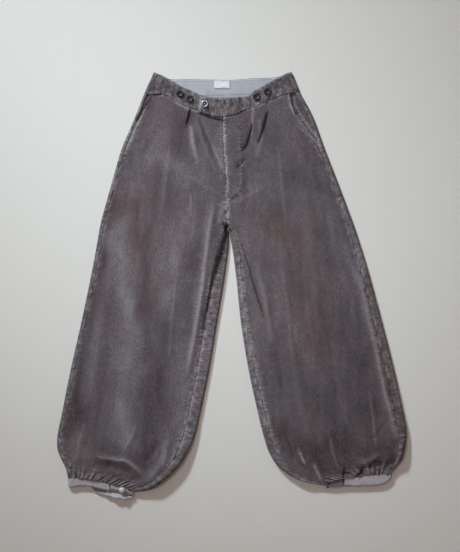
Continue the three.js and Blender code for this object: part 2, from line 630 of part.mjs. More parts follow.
function bandFacing() {
  const across = steps(FACING_ENDS.right, FACING_ENDS.left, 16);
  return wall(steps(0, 1, 2).map((t) => asRow(across.map((x) => {
    const top = lineY(BACK_BAND_TOP, x) - FACING_TOP_INSET;
    const y = lerp(backSeamY(x) - FACING_BELOW, top, t);
    return { outer: [x, y, FACING_TOP], inner: [x, y, FACING_TOP - LINING] };
  }))));
}

const LABEL_X = -22.5;          // middle of the label
const LABEL_TOP_INSET = 2;

function label() {
  const top = lineY(BACK_BAND_TOP, LABEL_X) - LABEL_TOP_INSET;
  const height = FACING_TOP + SEAM + LABEL_CLOTH;
  const across = steps(LABEL_X - LABEL_WIDTH / 2, LABEL_X + LABEL_WIDTH / 2, 4);
  return wall([top - LABEL_DEPTH, top].map((y) => asRow(across.map((x) => (
    { outer: [x, y, height], inner: [x, y, height - LABEL_CLOTH] })))));
}

// Cuffs

const CUFF_SEAM = SEAM + 0.1;
const CORNER_GAP = 2;           // between a cuff's front and the turn of its fold

// A band sewn to the leg's end, laid as a flat ring: over the front from the slit to the side, round
// to the back and along the surface, and round the inner end up to the front again
function cuff(leg, { frontLow, flapLow, slitX }) {
  const [sideCorner, innerCorner] = frontEnds(leg, LAST_ROW);
  const onFront = (x, low) => {
    const y = lineY(leg.hem, x) - CUFF_SEAM;
    const depth = y - lineY(low, x);
    return { outer: [x, y, CUFF_HEIGHT], inner: [x, y, CUFF_HEIGHT - CUFF_CLOTH], depth };
  };
  const cornerGap = leg.outward * CORNER_GAP;
  const frontPart = steps(slitX, sideCorner[0] - cornerGap, 8).map((x) => onFront(x, frontLow));
  const flapPart = steps(innerCorner[0] + cornerGap, slitX - leg.outward * SLIT, 5)
    .map((x) => onFront(x, flapLow));
  const atSide = frontPart.at(-1).depth;
  const atInner = flapPart[0].depth;
  const lowered = ([x, y, z]) => [x, y - CUFF_SEAM, z];
  const ring = backSection(leg, LAST_ROW, CUFF_CLOTH).map(({ outer, inner }, k, all) => {
    const edgeDepth = k < all.length / 2 ? atSide : atInner;
    const depth = lerp(CUFF_WIDTH, edgeDepth, clamp(outer[2] / CUFF_HEIGHT, 0, 1));
    return { outer: lowered(outer), inner: lowered(inner), depth };
  });
  const path = [...frontPart, ...ring, ...flapPart];
  return wall(steps(0, 1, 3).map((t) => asRow(path.map(({ outer, inner, depth }) => ({
    outer: [outer[0], outer[1] - depth * t, outer[2]],
    inner: [inner[0], inner[1] - depth * t, inner[2]],
  })))));
}

const CUFF_RIGHT = {
  frontLow: [[-392, -485], [-382, -486], [-365, -482], [-345, -483], [-320, -488], [-292, -494]],
  flapLow: [[-292, -490], [-265, -495], [-236, -502]],
  slitX: -292,
};
const CUFF_LEFT = {
  frontLow: [[383, -466], [367, -474], [353, -479], [326, -482], [289, -483], [270, -482]],
  flapLow: [[270, -481], [248, -485], [227, -485]],
  slitX: 270,
};

// Buttons

const BUTTON_SIDES = 18;
const lathe = (profile) => {
  const geometry = new THREE.LatheGeometry(profile.map(([x, y]) => new THREE.Vector2(x, y)), BUTTON_SIDES);
  return geometry.rotateX(Math.PI / 2);
};
const SEWN_BUTTON = [[0, 0], [6.2, 0], [8, 1], [8.4, 2.2], [7.6, 3.2], [6.2, 3.3], [5, 2.5], [0, 2.3]];
const RING_BUTTON = [[0, 0], [6.4, 0], [8.2, 1], [8.4, 2.2], [7, 3.2], [5, 3], [4.2, 1.8], [2.4, 1.8],
  [1.2, 2.8], [0, 3]];
const CUFF_BUTTON = [[0, 0], [5.4, 0], [7, 1], [7.2, 2.4], [5.6, 4], [3, 4.9], [0, 5.2]];

const BUTTONS = [
  { name: 'brace_button_1', x: -124, y: 457, on: BAND_HEIGHT, profile: SEWN_BUTTON, colour: 0x1c1b1e },
  { name: 'brace_button_2', x: -100, y: 445, on: BAND_HEIGHT, profile: SEWN_BUTTON, colour: 0x1c1b1e },
  { name: 'brace_button_3', x: 60, y: 450, on: BAND_HEIGHT, profile: SEWN_BUTTON, colour: 0x1c1b1e },
  { name: 'brace_button_4', x: 85, y: 462, on: BAND_HEIGHT, profile: SEWN_BUTTON, colour: 0x1c1b1e },
  { name: 'tab_button', x: -64, y: 432, on: BAND_HEIGHT + TAB_RISE, profile: RING_BUTTON, colour: 0xb9bcc2,
    metalness: 0.9 },
  { name: 'cuff_button', x: -262, y: -492, on: CUFF_HEIGHT, profile: CUFF_BUTTON, colour: 0xc9c6c8 },
];

// The object

const knickerbockers = new THREE.Group();
knickerbockers.position.set(-MIDDLE.x, -MIDDLE.y, 0);

function add(name, geometry, colour, roughness = 0.9, metalness = 0) {
  const material = new THREE.MeshStandardMaterial({ color: colour, roughness, metalness });
  const mesh = new THREE.Mesh(geometry, material);
  mesh.name = name;
  knickerbockers.add(mesh);
  return mesh;
}

const CORDUROY = 0x5f5861;
const CORDUROY_WORN = 0x6b646d;
const COTTON = 0xa7a6ad;

add('front_right', front(LEGS.right), CORDUROY);
add('front_left', front(LEGS.left), CORDUROY);
add('back_right', back(LEGS.right), CORDUROY_WORN);
add('back_left', back(LEGS.left), CORDUROY_WORN);
add('pocket_facing_right', pocketFacing(LEGS.right), CORDUROY);
add('pocket_facing_left', pocketFacing(LEGS.left), CORDUROY);
add('fly_underlap', flyUnderlap(), CORDUROY);
add('waistband_right', bandRight(), CORDUROY_WORN);
add('waistband_left', bandLeft(), CORDUROY_WORN);
add('waistband_back', bandBack(), CORDUROY_WORN);
add('waistband_facing', bandFacing(), COTTON);
add('label', label(), 0xe4e3e0);
add('cuff_right', cuff(LEGS.right, CUFF_RIGHT), COTTON);
add('cuff_left', cuff(LEGS.left, CUFF_LEFT), COTTON);
for (const { name, x, y, on, profile, colour, metalness = 0 } of BUTTONS) {
  add(name, lathe(profile), colour, 0.35, metalness).position.set(x, y, on + SEAM);
}

export default knickerbockers;
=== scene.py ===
import math

import bpy
import numpy as np
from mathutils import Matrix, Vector
from mathutils.bvhtree import BVHTree


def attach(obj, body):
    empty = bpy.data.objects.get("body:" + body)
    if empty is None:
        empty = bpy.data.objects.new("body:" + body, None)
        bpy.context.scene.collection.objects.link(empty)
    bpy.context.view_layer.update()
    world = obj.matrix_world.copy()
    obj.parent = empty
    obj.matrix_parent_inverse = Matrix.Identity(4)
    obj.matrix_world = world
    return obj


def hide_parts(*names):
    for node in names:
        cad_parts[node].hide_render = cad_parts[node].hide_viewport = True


# Corduroy knickerbockers laid on their back, seen from straight above.
# The garment is worked out in millimetres, with the wearer's left at +X, the hems at -Y and the
# surface that it lies on at z = 0. A plan place is a complex number, x + y * 1j. Every mesh is
# shifted by ORIGIN and brought to metres as it is made, which puts it in the frame of the part.

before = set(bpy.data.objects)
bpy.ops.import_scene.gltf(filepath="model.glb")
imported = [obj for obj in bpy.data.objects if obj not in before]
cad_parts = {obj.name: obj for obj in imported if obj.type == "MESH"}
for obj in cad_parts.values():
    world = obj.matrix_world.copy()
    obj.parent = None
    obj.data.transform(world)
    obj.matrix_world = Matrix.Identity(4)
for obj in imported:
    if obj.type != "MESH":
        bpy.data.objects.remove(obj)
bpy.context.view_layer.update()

# Driving sizes of the garment

MM = 0.001
ORIGIN = -0.35 + 4.3j
CLOTH = 1.8             # thickness of the corduroy,
BAND_CLOTH = 2.4        # of the waistband,
LINING = 1.2            # of its striped facing,
CUFF_CLOTH = 1.6        # of the cuffs
LABEL_CLOTH = 0.8       # and of the label
SEAM = 0.3              # gap between two pieces that meet edge to edge
SEWN_GAP = 0.08         # gap between a front and a back along their seam
LAID_HEIGHT = 7.2       # height of a leg over the surface, where it has no folds,
BAND_HEIGHT = 8.2       # of the waistband
CUFF_HEIGHT = 8.0       # and of the cuffs
CUFF_WIDTH = 20.0
FLY_RISE = 2.3          # how far the layers under the fly lift the left front
FLY_WIDTH = 26.0
FLY_END = 3.35          # the row of the leg tables where the fly ends
UNDER_FLY = 4.0         # how far the right front runs in under the left one
TAB_RISE = BAND_CLOTH + SEAM
BAND_RIGHT_END = -21.0  # where the right waistband ends, under the tab
SEAT_SEAM_X = -6.0
POCKET_END = 2.1        # the row where the pocket mouths end
POCKET_UNDER = 10.0     # how far a pocket's facing runs in under its mouth
POCKET_DROP = 0.4       # how far it lies below the front's inner face
BAND_LIP = 10.0         # how far the back waistband laps over at each side
BACK_BAND_DEPTH = 42.0  # its depth from seam to top,
FACING_DEPTH = 41.0     # and that of its facing
SLIT = 2.5              # width of the slit in a cuff
LABEL_WIDTH = 37.0
LABEL_DEPTH = 18.0
LABEL_X = -22.5
WALE = 2.9              # from one wale of the corduroy to the next

# The leg tables. A row is one section across the leg, from the waist down to the cuff: its two ends on
# the outline, how far the side seam, the pocket mouth and the inseam lie in from them, the heights of
# the two folded edges, and the height of the front between them.

LEG_COLUMNS = ("outer_x", "outer_y", "inner_x", "inner_y", "side", "mouth", "inseam",
               "side_height", "inseam_height", "middle")

RIGHT_ROWS = (
    (-209, 458, -20, 402, 6, 17, 0, 7.2, 7.2, 7.2),
    (-236, 390, -18, 356, 6, 12, 0, 7.2, 7.2, 7.4),
    (-264, 323, -16, 304, 7, 9, 0, 7.2, 7.2, 7.4),
    (-289, 236, -8, 236, 8, 8, 0, 7.2, 7.2, 7.4),
    (-313, 150, -12, 150, 9, 9, 0, 7.2, 5.6, 7.4),
    (-322, 100, -7, 102, 10, 10, 20, 7.2, 5.6, 7.3),
    (-337, 20, -17, 20, 10, 10, 24, 7.2, 7.2, 7.3),
    (-361, -95, -36, -95, 10, 10, 26, 7.2, 7.2, 7.2),
    (-387, -210, -55, -210, 10, 10, 27, 7.2, 7.4, 7.3),
    (-407, -311, -76, -311, 11, 11, 27, 7.8, 8.6, 8.2),
    (-416, -354, -89, -364, 12, 12, 26, 8.8, 11.5, 10.4),
    (-418, -388, -106, -404, 12, 12, 24, 10.4, 15.5, 13.4),
    (-410, -414, -134, -445, 11, 11, 20, 11.4, 18.5, 15.8),
    (-398, -438, -184, -486, 10, 10, 15, 10.6, 17, 14),
    (-392, -463, -236, -497, 9, 9, 10, 8, 8, 8),
)

LEFT_ROWS = (
    (162, 462, -20, 402, 10, 26, 0, 7.2, 7.2, 7.2),
    (192, 407, -17, 356, 10, 38, 0, 7.2, 7.2, 7.4),
    (223, 323, -14, 304, 11, 13, 0, 7.2, 7.2, 7.4),
    (257, 236, -8, 236, 12, 12, 0, 7.2, 7.2, 7.4),
    (289, 150, -12, 150, 13, 13, 0, 7.2, 5.6, 7.4),
    (306, 100, -1, 104, 14, 14, 16, 7.2, 5.6, 7.3),
    (330, 20, 11, 20, 15, 15, 14, 7.2, 7.2, 7.3),
    (361, -95, 23, -95, 18, 18, 13, 7.2, 7.2, 7.2),
    (390, -210, 42, -210, 19, 19, 14, 7.2, 7.4, 7.3),
    (412, -311, 64, -311, 19, 19, 16, 8.4, 8, 8.2),
    (419, -354, 76, -359, 18, 18, 16, 11, 9.6, 10.4),
    (416, -388, 90, -402, 16, 16, 15, 14.4, 12, 13.4),
    (409, -416, 116, -440, 14, 14, 13, 16, 14.5, 15.6),
    (398, -436, 167, -474, 12, 12, 11, 10.5, 12.6, 12),
    (383, -455, 227, -484, 10, 10, 9, 8, 8, 8),
)
LAST_ROW = len(RIGHT_ROWS) - 1
CROTCH_ROW = 4

# Seams that cross a panel's end, from the side seam to the centre

WAIST_SEAM_RIGHT = ((-199, 454), (-172, 456), (-150, 450), (-131, 436), (-102, 424), (-76, 415),
                    (-47, 405), (-13, 401))
WAIST_SEAM_LEFT = ((152, 459), (131, 456), (103, 445), (76, 434), (52, 424), (32, 418), (12, 409),
                   (-20, 401))
TAB_LOW = ((-20, 401), (-49, 405), (-78, 414))
BAND_TOP_RIGHT = ((-152, 493), (-116, 473), (-92, 463), (-70, 453), (-47, 448), (-21, 447))
BAND_TOP_LEFT = ((109, 494), (83, 480), (56, 465), (39, 452), (1, 448), (-30, 446), (-54, 449),
                 (-72, 449))
BACK_BAND_TOP = ((-186, 509), (-151, 493), (-100, 492), (-42, 491), (-4, 490), (44, 494),
                 (109, 497), (143, 510))
BACK_SEAM = ((-151, 455), (-100, 455), (-42, 454), (-4, 454), (44, 456), (109, 458))
FACING_SEAM = ((-178, 452), (-42, 453), (44, 455), (136, 456))
HEM_RIGHT = ((-384, -463), (-345, -466), (-320, -470), (-292, -477), (-265, -484), (-236, -487))
HEM_LEFT = ((374, -452), (331, -456), (308, -459), (270, -463), (250, -469), (227, -476))

# Folds and creases of the fronts: rise over the panel (below zero for a trough), half width, how much
# lighter the crest is, as worn cloth and painted highlight, or how much painted shade the trough holds
# (below zero), and the path

RIGHT_FOLDS = (
    (-1.3, 9, -0.35, ((-78, 404), (-59, 340), (-24, 262))),
    (0.9, 5, 0.2, ((-84, 400), (-66, 338), (-33, 268))),
    (2.2, 7, 0.4, ((-96, 384), (-93, 345), (-84, 296))),
    (-1.2, 12, -0.1, ((-97, 230), (-97, 150))),
    (0.7, 4, 0.4, ((-97, 216), (-97, 190), (-98, 162))),
    (3.2, 8, 0.8, ((-42, 193), (-55, 119), (-68, 13), (-78, -56), (-95, -155), (-110, -225))),
    (-1.2, 12, -0.15, ((-72, 150), (-88, 0), (-104, -120))),
    (1.3, 18, 0.1, ((-205, 250), (-222, 60), (-250, -140))),
    (1.1, 16, 0.1, ((-290, 60), (-318, -120), (-345, -300))),
    (-1.1, 20, -0.1, ((-180, -60), (-196, -230), (-220, -360))),
    (3.4, 9, 0.35, ((-322, -410), (-292, -414), (-271, -419), (-252, -421), (-230, -438), (-208, -454))),
    (-2.4, 10, -0.4, ((-330, -428), (-290, -432), (-258, -440), (-236, -452))),
    (2.2, 11, 0.3, ((-150, -370), (-172, -430), (-196, -462))),
    (-2.2, 12, -0.35, ((-172, -372), (-206, -424))),
    (0.8, 7, 0.2, ((-150, 330), (-158, 250), (-172, 150))),
    (-0.7, 8, -0.1, ((-236, 330), (-246, 250), (-262, 130))),
    (0.7, 6, 0.2, ((-128, 60), (-140, -60), (-150, -190))),
    (-0.8, 7, -0.15, ((-290, -160), (-310, -270), (-330, -380))),
    (0.9, 6, 0.25, ((-352, -330), (-364, -380), (-372, -430))),
    (0.9, 5, 0.3, ((-228, -330), (-240, -368), (-262, -400))),
    (-0.9, 6, -0.25, ((-126, -330), (-142, -380), (-166, -420))),
    (-2.0, 8, -0.5, ((-22, 128), (-36, 60), (-48, -10), (-60, -80))),
    (0.8, 6, 0.15, ((-24, 216), (-60, 232), (-104, 262))),
)

LEFT_FOLDS = (
    (1.5, 9, 0.35, ((66, 400), (70, 350), (60, 300))),
    (-1.3, 6, -0.5, ((86, 414), (76, 372), (62, 338))),
    (-1.2, 7, -0.4, ((50, 384), (37, 337), (22, 318), (14, 262))),
    (-1.3, 8, -0.2, ((40, 59), (66, -37), (80, -80))),
    (1.8, 10, 0.3, ((58, 60), (84, -60), (98, -150))),
    (2.9, 8, 0.6, ((300, 40), (316, -18), (342, -133), (366, -246), (385, -323), (394, -376))),
    (-1.4, 7, -0.5, ((314, 40), (331, -20), (357, -133), (381, -246), (400, -323), (405, -372))),
    (1.3, 18, 0.1, ((170, 240), (190, 60), (214, -140))),
    (-1.1, 20, -0.1, ((262, 20), (284, -150), (300, -320))),
    (1.4, 16, 0.12, ((150, -180), (166, -290), (190, -380))),
    (3.0, 7, 0.5, ((196, -428), (206, -446), (217, -470))),
    (2.0, 6, 0.4, ((160, -392), (168, -412), (178, -432))),
    (2.2, 10, 0.25, ((352, -404), (330, -420), (300, -428))),
    (-1.2, 6, -0.15, ((364, -424), (336, -436), (306, -440))),
    (0.8, 7, 0.2, ((112, 330), (120, 240), (132, 140))),
    (-0.7, 8, -0.1, ((200, 300), (216, 210), (236, 110))),
    (0.7, 6, 0.2, ((120, 40), (136, -70), (146, -180))),
    (-0.8, 8, -0.15, ((230, -100), (244, -220), (256, -340))),
    (0.9, 6, 0.25, ((330, -250), (340, -330), (346, -390))),
    (-1.0, 6, -0.25, ((120, -330), (134, -376), (158, -424))),
    (1.0, 5, 0.3, ((236, -360), (242, -400), (256, -440))),
    (-1.6, 4, -0.8, ((32, 302), (24, 290), (10, 279))),
    (0.8, 6, 0.15, ((8, 196), (44, 214), (90, 240))),
    (-0.8, 5, -0.3, ((372, -318), (352, -352), (330, -372))),
)

# Pleats: the line that the folded cloth makes, its step at the line, and how far the cloth stays up
# on the side seam's side of it

RIGHT_PLEATS = (
    ((-99, 426), (-110, 372), 2.4, 16),
)
LEFT_PLEATS = (
    ((52, 426), (46, 352), 2.2, 16),
    ((87, 438), (72, 352), 1.4, 13),
)

# Gathers over a cuff: place along the hem from the side (0) to the inseam (1), rise, half width as a
# part of the hem, and length up the leg

RIGHT_GATHERS = (
    (0.05, 2.2, 0.022, 46), (0.115, 2.8, 0.024, 38), (0.18, 2.0, 0.020, 52), (0.245, 2.6, 0.024, 34),
    (0.31, 3.0, 0.026, 44), (0.375, 2.2, 0.022, 30), (0.44, 2.8, 0.024, 40), (0.51, 3.2, 0.026, 36),
    (0.575, 2.4, 0.022, 28), (0.635, 3.4, 0.024, 42), (0.70, 2.6, 0.024, 30), (0.77, 3.0, 0.026, 46),
    (0.84, 2.4, 0.024, 54), (0.91, 2.8, 0.026, 60), (0.965, 1.8, 0.020, 40),
)
LEFT_GATHERS = (
    (0.05, 2.0, 0.022, 34), (0.11, 3.0, 0.024, 46), (0.17, 2.2, 0.022, 30), (0.235, 2.6, 0.024, 40),
    (0.295, 3.2, 0.026, 52), (0.36, 2.0, 0.022, 28), (0.425, 2.8, 0.026, 44), (0.49, 3.4, 0.026, 38),
    (0.56, 2.6, 0.022, 50), (0.625, 2.2, 0.024, 30), (0.695, 3.4, 0.028, 46), (0.77, 2.6, 0.026, 58),
    (0.845, 3.0, 0.026, 48), (0.92, 2.4, 0.026, 36),
)

# Marks that lie on the cloth without a form of their own: strength, half width and path. The rubbed and
# lit marks are lighter, as worn cloth and painted highlight; the shaded ones are painted shade and shadow
# in gaps, creases, pleat mouths and under edges; and the brown ones are where the colour has turned.

RUBBED_AND_LIT = (
    (0.75, 2.0, ((-73, 448), (-76, 432), (-79, 414))),
    (0.60, 5.0, ((-10, 208), (-9, 182), (-8, 158))),
    (0.35, 6.0, ((-22, 196), (-24, 176), (-30, 150))),
    (1.10, 1.9, ((-19.5, 398), (-17, 332), (-13, 284), (-9, 239), (-13, 214))),
    (0.70, 2.6, ((51, 424), (50, 396), (49, 358))),
    (0.30, 6.0, ((-49, -37), (-66, -140), (-91, -265), (-119, -392))),
    (0.45, 7.0, ((17, 36), (26, -32), (44, -144), (63, -217), (87, -328), (112, -398))),
    (0.40, 2.8, ((-316, -412), (-271, -418), (-252, -420), (-210, -452))),
    (0.55, 7.0, ((-208, 424), (-226, 384), (-252, 326))),
    (0.42, 4.0, ((-197, 444), (-224, 392), (-248, 340), (-266, 300))),
    (0.60, 2.4, ((136, 452), (146, 416), (182, 366), (208, 334))),
    (0.50, 2.4, ((149, 452), (158, 420), (193, 368), (216, 338))),
    (0.45, 4.0, ((141, 430), (150, 416))),
    (0.50, 2.4, ((164, -402), (174, -428))),
    (0.60, 3.0, ((198, -436), (212, -462), (217, -474))),
    (0.60, 2.6, ((-134, 436), (-102, 420), (-78, 412))),
    (0.30, 5.0, ((-99, 378), (-93, 345), (-86, 318), (-82, 292))),
    (0.40, 5.0, ((-44, 330), (-34, 300), (-26, 276))),
    (0.45, 3.0, ((-52, 20), (-58, -40), (-64, -100))),
    (0.30, 5.0, ((-394, -440), (-388, -424))),
    (0.45, 4.0, ((-164, -430), (-156, -398))),
)
SHADED = (
    (1.00, 2.8, ((-98, 423), (-103, 404), (-108, 386))),
    (1.60, 2.8, ((-82, 412), (-50, 400), (-16, 392))),
    (1.40, 4.0, ((-22, 147), (-14, 140), (-6, 141))),
    (1.50, 6.5, ((-14, 144), (-14, 122), (-24, 88), (-36, 45), (-50, -10))),
    (0.80, 6.0, ((-50, -10), (-62, -70), (-68, -110))),
    (0.40, 1.8, ((-82, 402), (-66, 366), (-48, 328), (-20, 262))),
    (0.55, 1.6, ((-23.5, 394), (-21, 332), (-17.5, 284), (-13.5, 239))),
    (1.00, 3.4, ((-191, 450), (-209, 424), (-227, 390))),
    (0.95, 3.2, ((50, 384), (37, 337), (24, 320))),
    (0.90, 3.0, ((87, 416), (75, 374), (64, 338))),
    (0.90, 2.6, ((-8, 208), (4, 209), (14, 216))),
    (1.30, 3.0, ((271, -440), (266, -450), (268, -462))),
    (1.00, 2.6, ((266, -449), (286, -453))),
    (1.40, 3.2, ((315, -438), (307, -451), (291, -464))),
    (0.90, 2.4, ((346, -417), (337, -427), (328, -438))),
    (0.90, 2.2, ((352, -440), (352, -457))),
    (0.90, 2.4, ((393, -434), (387, -446))),
    (0.85, 3.0, ((-226, -498), (-193, -490), (-138, -462), (-104, -425), (-88, -392), (-80, -350))),
    (0.85, 3.0, ((108, -436), (150, -468), (210, -484), (262, -488))),
    (0.60, 2.4, ((418, -330), (419, -372), (408, -416), (392, -446))),
    (0.60, 5.0, ((-324, -487), (-300, -493), (-280, -498))),
    (0.75, 1.9, ((24, 98), (40, 44), (64, -36), (80, -88))),
)
BROWN = (
    (0.9, 10.0, ((322, 10), (350, -120), (376, -240), (402, -330), (402, -388))),
    (0.9, 20.0, ((-235, 206), (-222, 107), (-206, 11), (-212, -80))),
    (0.7, 34.0, ((-268, 196), (-196, 194), (-124, 180))),
    (0.8, 24.0, ((104, 150), (110, 120))),
    (0.7, 22.0, ((186, 158), (184, 130))),
    (0.5, 60.0, ((140, 100), (164, -20), (188, -110))),
    (0.5, 14.0, ((250, -440), (330, -436), (384, -430))),
    (0.8, 11.0, ((-14, 140), (-34, 40), (-56, -60), (-86, -230), (-104, -330))),
    (0.6, 20.0, ((-60, 420), (-10, 424), (30, 426))),
)

# Where the seams have drawn the cloth up into small puckers, whose colour carries painted light and
# shade: strength, half width and path

PUCKERED = (
    (0.9, 8, ((-197, 444), (-224, 392), (-248, 340), (-270, 290))),
    (1.0, 6, ((20.4, 395), (20.9, 320), (23.8, 253), (19.9, 229), (10, 214), (-5, 207))),
    (0.9, 9, ((-19, 396), (-17, 332), (-13, 284), (-10, 225))),
    (1.0, 11, ((-12, 215), (-9, 180), (-13, 140))),
    (1.0, 9, ((-18, 140), (-24, 96), (-38, 40), (-54, -30), (-70, -120))),
    (0.5, 9, ((-70, -120), (-92, -240), (-124, -390))),
    (0.7, 9, ((14, 70), (28, -32), (46, -144), (64, -217), (88, -328), (118, -405))),
    (0.8, 10, ((-214, 424), (-240, 370), (-264, 316))),
    (0.8, 9, ((142, 452), (156, 418), (190, 366), (214, 330))),
    (0.6, 16, ((244, -452), (320, -440), (386, -430))),
    (0.6, 14, ((-390, -446), (-310, -456), (-236, -474))),
)

# Broad drifts of the nap: lighter above zero and darker below, half width and path. Most are the
# cloth's faded tone; the narrow ones along the outer folds are painted highlight and painted shade.

DRIFTS = (
    (-0.20, 90, ((-140, 400), (-200, 290))),
    (-0.30, 120, ((150, 390), (220, 100), (262, -150), (290, -390))),
    # painted shade where the right leg's surface curves down to its outer fold
    (-0.70, 15, ((-287, 200), (-320, 40), (-350, -105), (-374, -250), (-392, -360))),
    (0.75, 26, ((-272, 143), (-268, 59), (-248, -37), (-246, -133), (-263, -253), (-256, -325),
                (-238, -385))),
    (-0.50, 17, ((-230, 190), (-220, 107), (-205, 11), (-212, -70))),
    (0.50, 26, ((-128, 150), (-152, 59), (-162, -37))),
    (-0.60, 30, ((-158, -120), (-176, -229), (-194, -349), (-200, -415))),
    (-0.45, 26, ((-372, -290), (-338, -375), (-292, -398), (-216, -409))),
    (0.45, 22, ((-110, -150), (-124, -260), (-140, -360))),
    (0.45, 30, ((-196, 300), (-150, 290), (-104, 262))),
    (0.35, 14, ((-170, 430), (-176, 350), (-186, 300))),
    (-0.30, 22, ((-130, 410), (-140, 350), (-128, 320))),
    (0.40, 14, ((-97, 215), (-98, 160), (-104, 110))),
    (0.30, 18, ((-70, 380), (-40, 330), (-24, 290))),
    (-0.75, 40, ((120, -364), (170, -392), (262, -386), (386, -392))),
    (-0.50, 22, ((312, -200), (322, -250), (330, -300))),
    (-0.35, 40, ((180, -240), (240, -280), (300, -330))),
    # painted highlight on the left leg's outer ridge, and painted shade in the trough beside it
    (0.50, 9, ((272, 84), (306, -20), (340, -140), (366, -250), (386, -330), (402, -372))),
    (-0.70, 8, ((326, 0), (350, -110), (374, -230), (396, -320), (406, -372))),
    (0.30, 40, ((98, 90), (86, -20), (110, -120))),
    (0.30, 30, ((150, -60), (190, -160), (214, -230))),
    (0.40, 13, ((164, -436), (190, -452), (208, -470))),
    (0.30, 16, ((270, -280), (286, -330), (310, -370))),
    (0.30, 30, ((120, 400), (150, 340), (166, 290))),
    (-0.35, 26, ((120, 270), (190, 250), (240, 236))),
    (0.25, 30, ((90, 300), (60, 250), (40, 210))),
    (-0.35, 12, ((56, 40), (74, -40), (92, -110), (120, -240))),
    (0.30, 20, ((230, 160), (262, 40), (280, -60))),
)

# How far the lower edge of each back panel lies from that of its front, along Y

BACK_HEM_SHIFT = {"right": -2.0, "left": 22.0}


def leg_of(side, rows, **facts):
    """A leg's tables, with each column of its rows as an array."""
    table = dict(zip(LEG_COLUMNS, np.array(rows, float).T))
    return {"side": side, "table": table, "outward": -1 if side == "right" else 1, **facts}


RIGHT = leg_of("right", RIGHT_ROWS, folds=RIGHT_FOLDS, pleats=RIGHT_PLEATS, gathers=RIGHT_GATHERS,
               waist=WAIST_SEAM_RIGHT, waist_tip=-186 + 509j, hem=HEM_RIGHT)
LEFT = leg_of("left", LEFT_ROWS, folds=LEFT_FOLDS, pleats=LEFT_PLEATS, gathers=LEFT_GATHERS,
              waist=WAIST_SEAM_LEFT, waist_tip=143 + 510j, hem=HEM_LEFT)
LEGS = (RIGHT, LEFT)


# Small helpers

def lerp(a, b, t):
    return a + (b - a) * t


def smooth(low, high, value):
    """0 where the value is low, 1 where it is high, and smooth between them."""
    t = np.clip((value - low) / (high - low), 0, 1)
    return t * t * (3 - 2 * t)


def bell(distance, half_width):
    """1 where there is no distance, falling off to both sides."""
    return np.exp(-(distance / half_width) ** 2)


def unit(z):
    return z / np.abs(z)


def in_frame(place, height=0.0):
    """A plan place and a height as a point of the part's frame, in metres."""
    return (place.real + ORIGIN.real) * MM, (place.imag + ORIGIN.imag) * MM, height * MM


def between(values, place):
    """A smooth value at a place between the entries of values, the first of which is place 0."""
    last = len(values) - 1
    k = np.clip(np.floor(place).astype(int), 0, last - 1)
    t = place - k
    a, b, c, d = (values[np.clip(k + i, 0, last)] for i in (-1, 0, 1, 2))
    m, n = (c - a) / 2, (d - b) / 2
    return (2 * t**3 - 3 * t**2 + 1) * b + (t**3 - 2 * t**2 + t) * m \
        + (3 * t**2 - 2 * t**3) * c + (t**3 - t**2) * n


def column(leg, name, v):
    """A column of a leg's table at v, which counts its rows, smooth between them."""
    return between(leg["table"][name], np.asarray(v, float))


def line_y(points, x):
    """The y at x of a smooth line through points, past its ends the y of the nearest one."""
    xs, ys = np.array(sorted(points), float).T
    inside = np.clip(x, xs[0], xs[-1])
    k = np.clip(np.searchsorted(xs, inside) - 1, 0, len(xs) - 2)
    return between(ys, k + (inside - xs[k]) / (xs[k + 1] - xs[k]))


def smooth_path(points, steps=6):
    """A path's points with more between them, on a smooth curve."""
    plan = np.array([complex(*p) for p in points])
    return between(plan, np.linspace(0, len(plan) - 1, (len(plan) - 1) * steps + 1))


def near_path(path, place):
    """The distance of each place from a path, and how far along the path the nearest point is."""
    distance = np.full(np.shape(place), np.inf)
    along = np.zeros(np.shape(place))
    for k in range(len(path) - 1):
        step = path[k + 1] - path[k]
        away = (place - path[k]) * step.conjugate() / abs(step) ** 2
        t = np.clip(away.real, 0, 1)
        here = np.abs(away - t) * abs(step)
        nearer = here < distance
        distance = np.where(nearer, here, distance)
        along = np.where(nearer, (k + t) / (len(path) - 1), along)
    return distance, along


def run_along(place, height=None):
    """The length along each row of places, from its first place to every one of them."""
    steps = np.abs(np.diff(place))
    if height is not None:
        steps = np.hypot(steps, np.diff(height))
    start = np.zeros((*steps.shape[:-1], 1))
    return np.concatenate([start, np.cumsum(steps, axis=-1)], axis=-1)


def fading_ends(along):
    """1 over the middle of a path, and 0 at both of its ends."""
    return 1 - (2 * along - 1) ** 4


def mottle(across, along, seed):
    """Smooth random numbers from -1 to 1, with a new one at each whole step of across and along."""
    table = np.random.default_rng(seed).uniform(-1, 1, (97, 97))
    i, j = np.floor(across).astype(int), np.floor(along).astype(int)
    s, t = across - i, along - j
    s, t = s * s * (3 - 2 * s), t * t * (3 - 2 * t)
    near = lerp(table[i % 97, j % 97], table[(i + 1) % 97, j % 97], s)
    far = lerp(table[i % 97, (j + 1) % 97], table[(i + 1) % 97, (j + 1) % 97], s)
    return lerp(near, far, t)


# The outline and the seams

def outline(leg, which, v, seat=False):
    """A place on the outline. The seat is the centre back seam, which the back panels follow down to
    the crotch in place of the fronts' inner line."""
    v = np.asarray(v, float)
    place = column(leg, which + "_x", v) + 1j * column(leg, which + "_y", v)
    if not seat:
        return place
    seam_x = SEAT_SEAM_X + leg["outward"] * SEAM / 2
    x = lerp(seam_x, place.real, np.clip(v - CROTCH_ROW, 0, 1))
    y = np.where(v < CROTCH_ROW, column(leg, "outer_y", v), place.imag)
    return x + 1j * y


